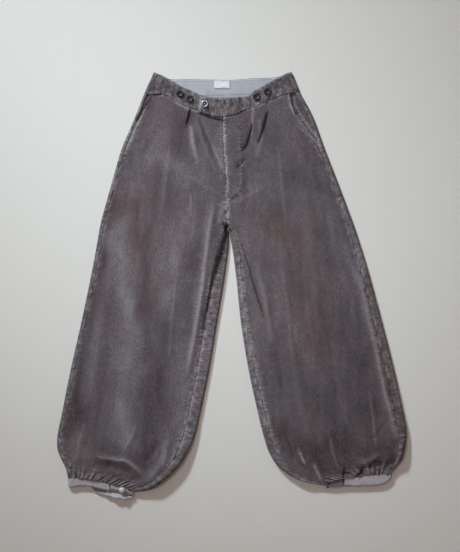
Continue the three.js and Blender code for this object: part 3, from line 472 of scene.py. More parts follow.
def edge(leg, which, v, seat=False):
    """A place on the outline with its direction into the leg, which at the cuff turns along the hem."""
    v = np.asarray(v, float)
    here = outline(leg, which, v, seat)
    above = outline(leg, which, np.maximum(0, v - 0.1), seat)
    below = outline(leg, which, np.minimum(LAST_ROW, v + 0.1), seat)
    turn = (1 if which == "outer" else -1) * leg["outward"]
    square = unit(-1j * turn * (below - above))
    along_hem = unit(outline(leg, "inner" if which == "outer" else "outer", v) - here)
    into = unit(lerp(square, along_hem, smooth(LAST_ROW - 1, LAST_ROW, v)))
    return here, into


def inset(place_and_into, distance):
    place, into = place_and_into
    return place + into * distance


def side_edge(leg, v, further=0.0):
    """The front panel's edge at the side seam, which the pocket mouth moves in."""
    distance = np.maximum(column(leg, "side", v), column(leg, "mouth", v))
    return inset(edge(leg, "outer", v), distance + SEWN_GAP + further)


def centre_edge(leg, v, further=0.0):
    """The front panel's edge at the fly and the inseam."""
    gap = lerp(SEAM, SEWN_GAP, smooth(CROTCH_ROW, CROTCH_ROW + 0.5, np.asarray(v, float)))
    place = inset(edge(leg, "inner", v), np.maximum(0, column(leg, "inseam", v)) + gap + further)
    if leg is LEFT:
        return place
    return place + UNDER_FLY * (1 - smooth(FLY_END - 0.3, FLY_END - 0.1, np.asarray(v, float)))


def front_place(leg, u, v):
    """A place on a front panel in plan: u runs from its side edge to its centre edge."""
    v = np.asarray(v, float)
    place = lerp(side_edge(leg, v), centre_edge(leg, v), u)
    top = lerp(side_edge(leg, 0), centre_edge(leg, 0), u)
    end = lerp(side_edge(leg, LAST_ROW), centre_edge(leg, LAST_ROW), u)
    waist = line_y(leg["waist"], top.real) - top.imag
    hem = line_y(leg["hem"], end.real) - end.imag
    near_waist = (1 - np.clip(v / 2.5, 0, 1)) ** 2
    at_seam = np.maximum(bell(u, 0.05), bell(1 - u, 0.05))
    in_last_rows = np.clip((v - LAST_ROW + 2) / 2, 0, 1)
    at_last_row = np.clip((v - LAST_ROW + 0.3) / 0.3, 0, 1)
    near_hem = lerp(in_last_rows, at_last_row, at_seam) ** 2
    return place + 1j * (waist * near_waist + hem * near_hem)


# Heights of the fronts

TONE_SHARE = 0.6    # how wide a fold's lighter crest or painted shade is, as a part of the fold


def fold_rise(leg, place):
    """The folds' rise, and how much lighter their crests are, as worn cloth and painted highlight, or how
    much painted shade lies in their troughs.
    """
    rise, tone = np.zeros(place.shape), np.zeros(place.shape)
    for height, half_width, shade, path in leg["folds"]:
        distance, along = near_path(smooth_path(path), place)
        rise += height * (fading_ends(along) * bell(distance, half_width))
        tone += shade * fading_ends(along) * bell(distance, half_width * TONE_SHARE)
    return rise, tone


def pleat_rise(leg, place):
    """The pleats' rise, and the shadow under each one's folded edge."""
    rise, shadow = np.zeros(place.shape), np.zeros(place.shape)
    for top, end, step, width in leg["pleats"]:
        t = np.clip((top[1] - place.imag) / (top[1] - end[1]), 0, 1)
        away = (place.real - lerp(top[0], end[0], t)) * leg["outward"]
        fade = (1 - smooth(0.6, 1, t)) * lerp(0.5, 1, smooth(0, 0.3, t))
        rise += step * fade * smooth(-0.9, 0.9, away) * bell(np.maximum(away, 0), width)
        shadow += fade * smooth(-3.4, -0.4, away) * smooth(0.8, -0.4, away)
    return rise, shadow


def gather_rise(leg, u, over_hem):
    """The rise of the table's gathers over the cuff, and how the small ones between them go up and
    down."""
    rise = np.zeros(over_hem.shape)
    for place, height, half_width, length in leg["gathers"]:
        rise += height * bell(u - place, half_width) * (1 - smooth(0, length, over_hem))
    small = mottle(u * 36 + 0.03 * over_hem, over_hem / 40, 11 + leg["outward"])
    fine = mottle(u * 74 + 0.02 * over_hem, over_hem / 26, 15 + leg["outward"])
    return rise, (small + 0.4 * fine) * (1 - smooth(6, 34, over_hem))


def fly_rise(leg, from_centre, v):
    """How far the layers under the fly lift the left front, which fades towards the leg's middle."""
    if leg is RIGHT:
        return 0
    down = 1 - smooth(FLY_END + 0.05, FLY_END + 0.4, v)
    return FLY_RISE * down * (1 - smooth(FLY_WIDTH + 6, FLY_WIDTH + 24, from_centre))


SEAM_TURN = 0.25    # how far a panel's edge turns down into its seam
PUCKER = 1.1        # rise of the puckers beside a seam
PUCKER_PITCH = 8.0  # and their spacing along it
UNDULATION = 0.8    # rise of the soft long waves that laid cloth keeps
SMALL_GATHER = 1.1  # rise of the small gathers over a cuff


def seam_relief(from_seam, along, seed):
    """The turned edge and the puckers beside a seam, and how light the edge is, as worn cloth with painted
    highlight on the puckers' crests.
    """
    puckers = mottle(along / PUCKER_PITCH + 40, from_seam / 16 + 3, seed)
    relief = PUCKER * puckers * bell(from_seam - 2.5, 7) - SEAM_TURN * bell(from_seam, 1.3)
    rubbed_and_lit = bell(from_seam - 2.6, 3.4) * (0.1 + 0.5 * np.maximum(0, puckers))
    return relief, rubbed_and_lit


def marks(table, place, taper=0.0):
    """How strong a table's marks are at each place. They waver a little, and taper towards their ends."""
    x, y = place.real, place.imag
    strayed = place + 2.2 * taper * (mottle(x / 8, y / 8, 81) + 1j * mottle(x / 8, y / 8, 82))
    total = np.zeros(place.shape)
    for strength, half_width, path in table:
        distance, along = near_path(smooth_path(path), strayed)
        total += strength * bell(distance, half_width * (1 - taper * (2 * along - 1) ** 2))
    return np.clip(total, 0, 1)


DRIFT_SHARE = 0.85  # how much of the strength in the table of drifts is used


def drift_at(place):
    """How light or dark the nap is, over wandering edges. A few drifts along the outer folds are painted
    highlight and painted shade.
    """
    x, y = place.real, place.imag
    strayed = place + 9 * (mottle(x / 31, y / 52, 71) + 1j * mottle(x / 34, y / 47, 72))
    total = 0.16 * mottle(x / 30, y / 60, 73) + 0.13 * mottle(x / 9, y / 60, 74)
    total = total + 0.12 * mottle(x / 14, y / 14, 75)
    for strength, half_width, path in DRIFTS:
        distance, along = near_path(smooth_path(path, 3), strayed)
        total = total + DRIFT_SHARE * strength * bell(distance, half_width)
    return total


def wear_and_light_of(rubbed_and_lit, shaded, place, puckered=0.0):
    """The marks at each point: lighter worn places with painted highlight, painted shade, brown, the nap's
    drift, and how puckered the cloth is.
    """
    rubbed_and_lit = np.clip(rubbed_and_lit + marks(RUBBED_AND_LIT, place, 0.35), 0, 1)
    shaded = np.clip(shaded + marks(SHADED, place, 0.6), 0, 1)
    drift = np.clip(0.5 + 0.5 * drift_at(place), 0, 1)
    puckered = np.clip(puckered + marks(PUCKERED, place), 0, 1)
    return np.stack([rubbed_and_lit, shaded, marks(BROWN, place), drift, puckered], axis=-1)


def plain_wear_and_shade(shaded, brown):
    """The painted shade and turned colour of pale cotton, which keeps to its own marks."""
    none = np.zeros(np.shape(shaded))
    return np.stack([none, np.clip(shaded, 0, 1), np.clip(brown, 0, 1), none + 0.5, none], axis=-1)


def front_rows(leg, count):
    """Places down the leg that are evenly spaced over its length, and that length at each."""
    dense = np.linspace(0, LAST_ROW, 1500)
    middle = front_place(leg, 0.5, dense)
    length = run_along(middle)
    along = np.linspace(0, length[-1], count)
    return np.interp(along, length, dense), along


def front_surface(leg, u, v, along):
    """Plan places, heights and wear of a front panel over a grid of u and v."""
    place = front_place(leg, u, v)
    side, centre = side_edge(leg, v), centre_edge(leg, v)
    from_side, from_centre = np.abs(place - side), np.abs(place - centre)
    width = np.abs(centre - side)
    middle = column(leg, "middle", v)
    height = middle + (column(leg, "side_height", v) - middle) * (1 - smooth(0, 40, from_side))
    height += (column(leg, "inseam_height", v) - middle) * (1 - smooth(0, 40, from_centre))
    height += fly_rise(leg, from_centre, v)
    inner = smooth(0, 12, from_side) * smooth(0, 12, from_centre)

    folds, tone = fold_rise(leg, place)
    pleats, pleat_shadow = pleat_rise(leg, place)
    over_hem = np.abs(front_place(leg, u, LAST_ROW) - place)
    gathers, small = gather_rise(leg, u, over_hem)
    # where the cloth puckers, which the corduroy's colour shows with painted light and shade
    puckered = 0.5 * np.maximum(bell(from_side - 2, 4.5), bell(from_centre - 2, 4.5))
    puckered = np.maximum(puckered, 0.35 * smooth(12, 3, over_hem))
    height += (folds + pleats + gathers) * inner + SMALL_GATHER * small
    seed = 20 + leg["outward"]
    waves = mottle((u - 0.5) * width / 24 + 50, along / 75, seed)
    waves += 0.5 * mottle((u - 0.5) * width / 11 + 50, along / 34, seed + 3)
    height += UNDULATION * waves * inner

    at_side, side_rub = seam_relief(from_side, along, seed + 6)
    at_centre, centre_rub = seam_relief(from_centre, along, seed + 9)
    below_waist = np.abs(place - front_place(leg, u, 0))
    at_waist, waist_rub = seam_relief(below_waist, u * 190, seed + 12)
    at_hem, hem_rub = seam_relief(over_hem, u * 150, seed + 15)
    height += at_side + at_centre + at_waist + at_hem

    # painted shade in the gathers' valleys and under the pleats' edges, and painted highlight with worn
    # cloth on the crests of the gathers and folds
    valleys = np.maximum(0, 1.6 - gathers - 1.2 * small) * (1 - smooth(5, 26, over_hem))
    rubbed_and_lit = np.maximum(0, tone) + 0.8 * side_rub + 0.8 * centre_rub + waist_rub + 0.6 * hem_rub
    rubbed_and_lit += 0.24 * gathers + 0.6 * np.maximum(0, small)
    shaded = np.maximum(0, -tone) + 0.75 * pleat_shadow + 0.17 * valleys + 0.25 * np.maximum(0, -small)
    return place, height, wear_and_light_of(rubbed_and_lit, shaded, place, puckered)


# Meshes

def points_of(place, height):
    """Points of three numbers from plan places and their heights."""
    return np.stack([place.real, place.imag, np.broadcast_to(height, place.shape)], axis=-1)


def flat_faces(place, height, cloth):
    """The outer and the inner face of cloth that lies with one above the other."""
    return points_of(place, height), points_of(place, height - cloth)


def grain_of(across, along):
    """Places on the cloth's grain, from those across it and those along it."""
    return np.stack(np.broadcast_arrays(across, along), axis=-1)


def rim_of(rows, columns):
    """The border of a grid of rows and columns, as indices in order round it."""
    index = np.arange(rows * columns).reshape(rows, columns)
    return np.concatenate([index[0, :-1], index[:-1, -1], index[-1, :0:-1], index[:0:-1, 0]])


def closed_faces(rows, columns, ring):
    """The faces of a closed sheet, whose points are its outer grid, its inner grid and its rim."""
    cell = (np.arange(rows - 1)[:, None] * columns + np.arange(columns - 1)[None, :]).reshape(-1)
    top = np.stack([cell, cell + 1, cell + columns + 1, cell + columns], axis=1)
    count = rows * columns
    under = top[:, ::-1] + count
    here = np.arange(len(ring))
    after = (here + 1) % len(ring)
    mid, mid_after = 2 * count + here, 2 * count + after
    upper_rim = np.stack([ring[after], ring, mid, mid_after], axis=1)
    lower_rim = np.stack([mid_after, mid, ring + count, ring[after] + count], axis=1)
    return np.concatenate([top, under, upper_rim, lower_rim])


def volume_in(points, faces):
    """Six times the volume that the faces hold, below zero where they face inwards."""
    a, b, c, d = (points[faces[:, k]] for k in range(4))
    halves = ((a, b, c), (a, c, d))
    return sum(np.einsum("ij,ij->i", p, np.cross(q, r)).sum() for p, q, r in halves)


def cloth_mesh(name, outer, inner, grain, wear_and_light, roll):
    """A closed sheet of cloth from two grids of points, its outer and its inner face, in millimetres.
    The rim between them is rounded by roll. Grain is the place on the cloth, for its weave."""
    rows, columns = outer.shape[:2]
    ring = rim_of(rows, columns)
    outer_points, inner_points = outer.reshape(-1, 3), inner.reshape(-1, 3)
    inward = np.clip(np.arange(rows)[:, None], 1, rows - 2) * columns \
        + np.clip(np.arange(columns)[None, :], 1, columns - 2)
    out = outer_points[ring] - outer_points[inward.reshape(-1)[ring]]
    out /= np.maximum(np.linalg.norm(out, axis=1, keepdims=True), 1e-6)
    middle = (outer_points[ring] + inner_points[ring]) / 2 + out * roll
    points = np.concatenate([outer_points, inner_points, middle])
    points[:, :2] += (ORIGIN.real, ORIGIN.imag)
    faces = closed_faces(rows, columns, ring)
    if volume_in(points, faces) < 0:
        faces = faces[:, ::-1]
    mesh = bpy.data.meshes.new(name)
    mesh.from_pydata((points * MM).tolist(), [], faces.tolist())
    lay_grain_wear_and_light(mesh, grain.reshape(-1, 2), wear_and_light.reshape(-1, 5), ring)
    mesh.shade_smooth()
    return mesh


def lay_grain_wear_and_light(mesh, grain, wear_and_light, ring):
    """The grain as a UV map, and the worn places and painted light as a colour and a number at each point
    of a closed sheet.
    """
    every_grain = np.concatenate([grain, grain, grain[ring]]) * MM
    corners = np.empty(len(mesh.loops), dtype=np.int32)
    mesh.loops.foreach_get("vertex_index", corners)
    corner_grain = every_grain[corners].astype(np.float32)
    mesh.uv_layers.new(name="grain").data.foreach_set("uv", corner_grain.ravel())
    every_wear_and_light = np.concatenate([wear_and_light, wear_and_light, wear_and_light[ring]]).astype(np.float32)
    colours = every_wear_and_light[:, (0, 1, 2, 4)]
    mesh.attributes.new("wear_and_light", "FLOAT_COLOR", "POINT").data.foreach_set("color", colours.ravel())
    mesh.attributes.new("drift", "FLOAT", "POINT").data.foreach_set("value", every_wear_and_light[:, 3].copy())


SHOWN = []      # every cloth piece, for the rays that set stitches and threads down on the cloth


def place_piece(name, mesh, material, nodes=()):
    """A piece that rides on the garment, with the CAD nodes that it stands in for, if any."""
    piece = bpy.data.objects.new(name, mesh)
    bpy.context.collection.objects.link(piece)
    mesh.materials.clear()
    mesh.materials.append(material)
    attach(piece, "root")
    if nodes:
        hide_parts(*nodes)
    return piece


def lay_cloth(name, outer, inner, grain, wear_and_light, material, slot, node, flat, area=None, roll=0.12,
              rests_on=("back_right_cloth", "back_left_cloth")):
    """A sheet of cloth as a piece. Its flat size, that of the piece that it was cut from in metres, is
    not used.
    """
    mesh = cloth_mesh(name, outer, inner, grain, wear_and_light, roll)
    piece = place_piece(name, mesh, material, (node,))
    SHOWN.append(piece)


# Shader trees, written as expressions

class Paint:
    """A socket in a shader tree that takes part in Python expressions."""

    def __init__(self, tree, socket):
        self.tree = tree
        self.socket = socket

    def joined(self, operation, first, second):
        vector = any(isinstance(x, Paint) and x.socket.type == "VECTOR" for x in (first, second))
        kind = "ShaderNodeVectorMath" if vector else "ShaderNodeMath"
        return self.tree.node(kind, {"operation": operation}, {0: first, 1: second})

    def __add__(self, other):
        return self.joined("ADD", self, other)

    def __radd__(self, other):
        return self.joined("ADD", other, self)

    def __sub__(self, other):
        return self.joined("SUBTRACT", self, other)

    def __rsub__(self, other):
        return self.joined("SUBTRACT", other, self)

    def __mul__(self, other):
        return self.joined("MULTIPLY", self, other)

    def __rmul__(self, other):
        return self.joined("MULTIPLY", other, self)

    def __pow__(self, other):
        return self.joined("POWER", self, other)

    def clipped(self):
        return self.tree.node("ShaderNodeClamp", {}, {0: self})

    def over(self, low, high):
        """0 where this is low, 1 where it is high, and smooth between them."""
        settings = {"interpolation_type": "SMOOTHSTEP"}
        return self.tree.node("ShaderNodeMapRange", settings, {0: self, 1: low, 2: high})

    def wave(self, pitch):
        """A smooth wave from 0 to 1 that repeats with this pitch."""
        turn = self * (2 * math.pi / pitch)
        return self.tree.node("ShaderNodeMath", {"operation": "SINE"}, {0: turn}) * 0.5 + 0.5


class Finish:
    """A material's shader tree."""

    def __init__(self, name):
        self.material = bpy.data.materials.new(name)
        self.material.use_nodes = True
        self.tree = self.material.node_tree
        self.shader = self.tree.nodes["Principled BSDF"]

    def node(self, kind, settings, inputs, output=0):
        node = self.tree.nodes.new(kind)
        for key, value in settings.items():
            setattr(node, key, value)
        for key, value in inputs.items():
            self.feed(node.inputs[key], value)
        return Paint(self, node.outputs[output])

    def feed(self, socket, value):
        if isinstance(value, Paint):
            self.tree.links.new(value.socket, socket)
        else:
            socket.default_value = value

    def set(self, **inputs):
        for name, value in inputs.items():
            self.feed(self.shader.inputs[name.replace("_", " ")], value)

    def parts(self, value):
        kind = "ShaderNodeSeparateColor" if value.socket.type == "RGBA" else "ShaderNodeSeparateXYZ"
        first = self.node(kind, {}, {0: value})
        node = first.socket.node
        return [Paint(self, node.outputs[k]) for k in range(3)]

    def vector(self, x, y, z=0.0):
        return self.node("ShaderNodeCombineXYZ", {}, {0: x, 1: y, 2: z})

    def grain(self):
        """Places across and along the cloth's grain, in metres."""
        return self.parts(self.node("ShaderNodeUVMap", {"uv_map": "grain"}, {}))[:2]

    def wear_and_light(self):
        return self.parts(self.node("ShaderNodeAttribute", {"attribute_name": "wear_and_light"}, {}, "Color"))

    def puckered(self):
        return self.node("ShaderNodeAttribute", {"attribute_name": "wear_and_light"}, {}, "Alpha")

    def drift(self):
        return self.node("ShaderNodeAttribute", {"attribute_name": "drift"}, {}, "Fac")

    def here(self):
        return self.node("ShaderNodeTexCoord", {}, {}, "Object")

    def noise(self, where, scale, detail=2.0, roughness=0.5):
        inputs = {"Vector": where, "Scale": scale, "Detail": detail, "Roughness": roughness}
        return self.node("ShaderNodeTexNoise", {}, inputs)

    def mix(self, first, second, share):
        settings = {"data_type": "RGBA"}
        inputs = {0: share, 6: colour(first), 7: colour(second)}
        return self.node("ShaderNodeMix", settings, inputs, 2)

    def bump(self, height, depth):
        """A Normal from a height between 0 and 1 that stands for a real depth in metres."""
        return self.node("ShaderNodeBump", {}, {"Height": height, "Distance": depth, "Strength": 1.0})


def colour(value):
    """A linear colour of three numbers with its alpha, or a socket as it is."""
    return value if isinstance(value, Paint) else (*value, 1.0)


# Colours of the finishes, linear

CORDUROY_GREY = (0.095, 0.083, 0.097)
CORDUROY_BROWN = (0.108, 0.075, 0.077)
CORDUROY_PALE = (0.26, 0.245, 0.275)
CORDUROY_DARK = (0.030, 0.022, 0.027)
# the colour of worn places and of painted highlight
CORDUROY_RUBBED_AND_LIT = (0.36, 0.34, 0.355)
# the colour of painted shade in creases, gaps and under edges
CREASE_SHADE = (0.010, 0.007, 0.007)
THREAD_PALE = (0.26, 0.245, 0.26)
THREAD_GREY = (0.13, 0.12, 0.135)
THREAD_DARK = (0.05, 0.045, 0.05)
THREAD_WHITE = (0.62, 0.63, 0.66)
FACING_PALE = (0.37, 0.385, 0.44)
FACING_DIRTY = (0.26, 0.27, 0.315)
FACING_BLUE = (0.22, 0.25, 0.32)
LABEL_PALE = (0.72, 0.73, 0.76)
LABEL_DIRTY = (0.52, 0.53, 0.57)
CUFF_PALE = (0.36, 0.355, 0.38)
CUFF_DIRTY = (0.22, 0.215, 0.23)
BUTTON_BLACK = (0.008, 0.007, 0.009)
BUTTON_DUSTY = (0.018, 0.016, 0.019)
RING_BRIGHT = (0.40, 0.45, 0.54)
RING_DULL = (0.24, 0.27, 0.33)
# the colour of painted shade in the tab button's hollow
HOLLOW_SHADE = (0.008, 0.008, 0.010)
KNOB_PALE = (0.52, 0.50, 0.51)
KNOB_DIRTY = (0.36, 0.34, 0.35)
BOARD_PALE = (0.635, 0.635, 0.622)
BOARD_DULL = (0.61, 0.608, 0.594)
NAP_SHEEN = (0.92, 0.90, 0.95, 1.0)

# Depths that the finishes' bumps stand for, in metres

WALE_DEPTH = 0.0005
WEAVE_DEPTH = 0.00022
PLY_DEPTH = 0.00012
SCRATCH_DEPTH = 0.00002
BOARD_TOOTH = 0.00008


def corduroy(name, worn=1.0):
    """Faded corduroy: raised wales with bare ground between them, flecks where the pile has gone,
    drifts of light, dark and brown nap over the garment, worn places with painted highlight, painted
    light and shade on the puckers, and painted shade in creases, gaps and under edges."""
    f = Finish(name)
    across, along = f.grain()
    rubbed_and_lit, shaded, brown = f.wear_and_light()
    drift = f.drift()
    here = f.here()
    puckered = f.puckered()
    sway = f.noise(f.vector(across * 18, along * 5), 1.0) * 0.0016
    wales = (across + sway).wave(WALE * MM)
    fleck = f.noise(f.vector(across * 300, along * 90), 1.0, 3.0, 0.7)
    crumb = f.noise(here, 240.0, 4.0, 0.75)
    streak = f.noise(f.vector(across * 170, along * 14), 1.0, 3.0, 0.6)
    cloud = f.noise(f.vector(across * 30, along * 9), 1.0, 4.0, 0.65)
    tint = f.noise(here, 7.0, 3.0, 0.6)
    nap = f.noise(f.vector(across * 2600, along * 1500), 1.0, 2.0, 0.6)
    pucker = f.noise(f.vector(across * 75, along * 185), 1.0, 3.0, 0.65)

    light = (drift - 0.5) + (cloud - 0.5) * 0.45 + (streak - 0.5) * 0.3
    light = light + (fleck - 0.5) * 0.8 + (crumb - 0.5) * 1.1 + (wales - 0.5) * 0.07
    # painted light and shade on the puckers beside the seams
    light = light + puckered * (pucker - 0.49) * 3.8
    base = f.mix(CORDUROY_GREY, CORDUROY_BROWN, (tint.over(0.42, 0.62) * 0.4 + brown * 0.75).clipped())
    base = f.mix(base, CORDUROY_PALE, (light * worn).clipped())
    base = f.mix(base, CORDUROY_DARK, ((0 - light) * 1.5).clipped())
    # worn places and painted highlight, lighter still on the puckers' crests
    rub_and_light = rubbed_and_lit * (0.55 + pucker.over(0.38, 0.62) * 0.45)
    base = f.mix(base, CORDUROY_RUBBED_AND_LIT, rub_and_light.clipped() * 0.75)
    base = f.mix(base, CORDUROY_DARK, (brown * crumb.over(0.5, 0.66) * 0.4).clipped())
    # painted shade in creases, gaps, pleat mouths and under edges
    base = f.mix(base, CREASE_SHADE, (shaded * (1.25 - pucker * 0.5)).clipped())
    height = wales * 0.5 + nap * 0.2 + fleck * 0.3 + puckered * pucker * 2.2
    f.set(Base_Color=base, Roughness=0.86 + nap * 0.1, Normal=f.bump(height, WALE_DEPTH))
    f.set(Sheen_Weight=0.12, Sheen_Roughness=0.4, Sheen_Tint=NAP_SHEEN, IOR=1.3)
    return f.material


def plain_weave(name, pale, dirty, stripe=None, pitch=0.62):
    """Plain cotton: threads over and under, with soft dirt, and stripes along the cloth if any."""
    f = Finish(name)
    across, along = f.grain()
    _, shaded, brown = f.wear_and_light()
    warp, weft = across.wave(pitch * MM * 2), along.wave(pitch * MM * 2)
    threads = warp * weft + (1 - warp) * (1 - weft)
    slub = f.noise(f.vector(across * 900, along * 60), 1.0, 2.0, 0.6)
    cross_slub = f.noise(f.vector(across * 60, along * 900), 1.0, 2.0, 0.6)
    cloud = f.noise(f.here(), 30.0, 4.0, 0.6)
    dirt = cloud.over(0.42, 0.7) * 0.45 + slub.over(0.5, 0.75) * 0.25 + cross_slub.over(0.5, 0.75) * 0.2
    base = f.mix(pale, dirty, dirt.clipped())
    if stripe:
        share = along.wave(stripe["pitch"] * MM).over(0.62, 0.9) * stripe["share"]
        base = f.mix(base, stripe["colour"], share)
    base = f.mix(base, CORDUROY_BROWN, (brown * 0.9).clipped())
    # painted shade from the marks' shade channel
    base = f.mix(base, CORDUROY_DARK, (shaded * 0.9).clipped())
    height = threads * 0.7 + slub * 0.3
    f.set(Base_Color=base, Roughness=0.9 - threads * 0.08, Normal=f.bump(height, WEAVE_DEPTH))
    f.set(Sheen_Weight=0.12, Sheen_Roughness=0.5)
    return f.material


PLY_PITCH = 0.7


def thread(name, tone):
    """Sewing thread: two plies twisted round each other."""
    f = Finish(name)
    x, y, _ = f.parts(f.here())
    ply = (x + y * 1.4).wave(PLY_PITCH * MM)
    fuzz = f.noise(f.here(), 900.0, 2.0)
    base = f.mix(tone, tuple(c * 0.55 for c in tone), ((1 - ply) * 0.5 + fuzz * 0.4).clipped())
    f.set(Base_Color=base, Roughness=0.85, Normal=f.bump(ply, PLY_DEPTH))
    f.set(Sheen_Weight=0.2)
    return f.material


EYE_FROM = 1.1      # radius at which the painted shade in the tab button's hollow starts,
EYE_TO = 4.7        # and at which it ends
EYE_BLUR = (0.6, 0.7)   # how soft the two ends are
TAB_BUTTON = -64 + 432j


def polished(name, tone, dull_tone, roughness, metallic=0.0, eye=None):
    """A moulded or turned button: fine scratches, and clouds where the polish has gone. An eye is the
    place of a hollow round a bright middle, and the hollow is painted dark as shade."""
    f = Finish(name)
    here = f.here()
    scratch = f.noise(here, 1400.0, 3.0, 0.7)
    cloud = f.noise(here, 260.0, 3.0, 0.6)
    base = f.mix(tone, dull_tone, (cloud.over(0.45, 0.75) * 0.6).clipped())
    if eye:
        x, y, _ = f.parts(here)
        eye_x, eye_y, _ = in_frame(eye)
        away = ((x - eye_x) ** 2.0 + (y - eye_y) ** 2.0) ** 0.5
        inside, outside = (away.over(radius * MM, (radius + blur) * MM)
                           for radius, blur in zip((EYE_FROM, EYE_TO), EYE_BLUR))
        # painted shade in the button's hollow, where it is not metallic
        hollow = inside * (1 - outside)
        base = f.mix(base, HOLLOW_SHADE, hollow)
        metallic = (1 - hollow) * metallic
    f.set(Base_Color=base, Roughness=roughness + cloud.over(0.4, 0.8) * 0.18)
    f.set(Metallic=metallic, Normal=f.bump(scratch, SCRATCH_DEPTH))
    return f.material


CLOTH_GREY = corduroy("corduroy_faded")
CLOTH_BAND = corduroy("corduroy_waistband", worn=1.25)
LINING_STRIPE = plain_weave("cotton_blue_grey_stripe", FACING_PALE, FACING_DIRTY,
                            {"pitch": 9.0, "share": 0.15, "colour": FACING_BLUE})
LABEL_COTTON = plain_weave("cotton_label", LABEL_PALE, LABEL_DIRTY, pitch=0.4)
CUFF_COTTON = plain_weave("cotton_cuff", CUFF_PALE, CUFF_DIRTY)
STITCH_PALE = thread("thread_pale", THREAD_PALE)
STITCH_GREY = thread("thread_grey", THREAD_GREY)
STITCH_DARK = thread("thread_dark", THREAD_DARK)
STITCH_LABEL = thread("thread_white", THREAD_WHITE)
BLACK_BUTTON = polished("button_black", BUTTON_BLACK, BUTTON_DUSTY, roughness=0.46)
RING_METAL = polished("button_ring_metal", RING_BRIGHT, RING_DULL, roughness=0.42, metallic=1.0,
                      eye=TAB_BUTTON)
PALE_BUTTON = polished("button_pale", KNOB_PALE, KNOB_DIRTY, roughness=0.5)


# Front panels

FRONT_ROWS = 330
FRONT_COLUMNS = 116
EDGE_STEPS = np.array([0, 0.45, 1.0, 1.8, 3.0])      # the first points in from a panel's edge


def front_grid(leg):
    v, along = front_rows(leg, FRONT_ROWS)
    v, along = v[:, None], along[:, None]
    width = np.abs(centre_edge(leg, v) - side_edge(leg, v))
    near = EDGE_STEPS / width
    start = near[:, -1:]
    inside = lerp(start, 1 - start, np.linspace(0, 1, FRONT_COLUMNS)[None, 1:-1])
    return np.concatenate([near, inside, 1 - near[:, ::-1]], axis=1), v, along, width


def panel_grain(u, along, width):
    """Places on the cloth's grain: the wales keep to the leg's middle and close up with its width."""
    return grain_of((u - 0.5) * lerp(width, np.mean(width), 0.3), along)


def front_panel(leg):
    """A leg's front, from the side seam and the pocket mouth to the fly and the inseam."""
    u, v, along, width = front_grid(leg)
    place, height, wear_and_light = front_surface(leg, u, v, along)
    lay_cloth(f"front_{leg['side']}_cloth", *flat_faces(place, height, CLOTH),
              panel_grain(u, along, width), wear_and_light, CLOTH_GREY, "corduroy", f"front_{leg['side']}",
              flat=(0.36, 1.02), area=0.268)


# Back panels

ARC_STEPS = 8
LIP_STEPS = 6
FLOOR_STEPS = 40
BACK_ROWS = 300

# Creases of the backs, on the surface: rise, half width and path

UNDER_CREASES = (
    (1.3, 12, ((60, 300), (90, 150), (130, -60))),
    (1.1, 9, ((-40, 250), (-90, 120), (-130, -40))),
    (1.2, 14, ((-250, 60), (-290, -120), (-320, -300))),
    (1.0, 12, ((200, 60), (250, -120), (300, -300))),
    (1.3, 9, ((-160, -300), (-220, -400), (-270, -450))),
    (1.2, 9, ((120, -280), (180, -380), (240, -430))),
    (0.9, 8, ((-180, 380), (-160, 300), (-150, 200))),
    (0.9, 8, ((120, 390), (110, 300), (120, 210))),
    (1.2, 7, ((-330, -380), (-320, -420), (-310, -452))),
    (1.2, 7, ((330, -360), (320, -400), (310, -430))),
)


def folded_edge(place_and_into, height, curl, seam_inset, cloth, shift):
    """A folded edge's section: from the surface round an arc and back over itself to the seam. A curl
    of 1 is a whole fold, and less lets the cloth's edge lie down towards flat."""
    place, into = place_and_into
    radius = height / 2 / curl
    turn = math.pi * curl
    lip = np.maximum(1, (seam_inset - height / 2) * smooth(0.85, 1, curl))
    reach = np.where(turn >= math.pi / 2, radius, radius * np.sin(turn) + lip * np.cos(turn))
    inside = radius - cloth
    steps = []
    for angle in (turn * share for share in np.linspace(0, 1, ARC_STEPS + 1)):
        steps.append((reach - radius * np.sin(angle), radius * (1 - np.cos(angle)),
                      reach - inside * np.sin(angle), radius - inside * np.cos(angle)))
    end_along = reach - radius * np.sin(turn)
    end_z = radius * (1 - np.cos(turn))
    for length in (lip * share for share in np.linspace(0, 1, LIP_STEPS + 1)[1:]):
        along = end_along - length * np.cos(turn)
        z = end_z + length * np.sin(turn)
        steps.append((along, z, along + cloth * np.sin(turn), z + cloth * np.cos(turn)))
    out_along, out_z, in_along, in_z = (np.stack(values, axis=-1) for values in zip(*steps))
    slide = 1j * (shift * (1 - np.clip(out_z / height[..., None], 0, 1)))
    outer = place[..., None] + into[..., None] * out_along + slide
    inner = place[..., None] + into[..., None] * in_along + slide
    return outer, out_z, inner, in_z


def back_section(leg, v, cloth, floor_steps=FLOOR_STEPS):
    """A back panel's section from its side seam, round the folded side, along the surface and round
    the inner fold to the inseam."""
    v = np.asarray(v, float)
    shift = (BACK_HEM_SHIFT[leg["side"]] * smooth(LAST_ROW - 2, LAST_ROW, v))[..., None]
    whole = np.ones(v.shape)
    side = folded_edge(edge(leg, "outer", v), column(leg, "side_height", v), whole,
                       column(leg, "side", v), cloth, shift)
    curl = np.maximum(0.01, smooth(CROTCH_ROW + 0.15, CROTCH_ROW + 0.6, v))
    inner = folded_edge(edge(leg, "inner", v, seat=True), column(leg, "inseam_height", v), curl,
                        column(leg, "inseam", v), cloth, shift)
    share = np.linspace(0, 1, floor_steps + 1)[1:-1]
    floor_place = lerp(side[0][..., :1], inner[0][..., :1], share)
    floor = (floor_place, np.zeros(floor_place.shape), floor_place, np.full(floor_place.shape, cloth))
    return [np.concatenate([a[..., ::-1], b, c], axis=-1) for a, b, c in zip(side, floor, inner)]


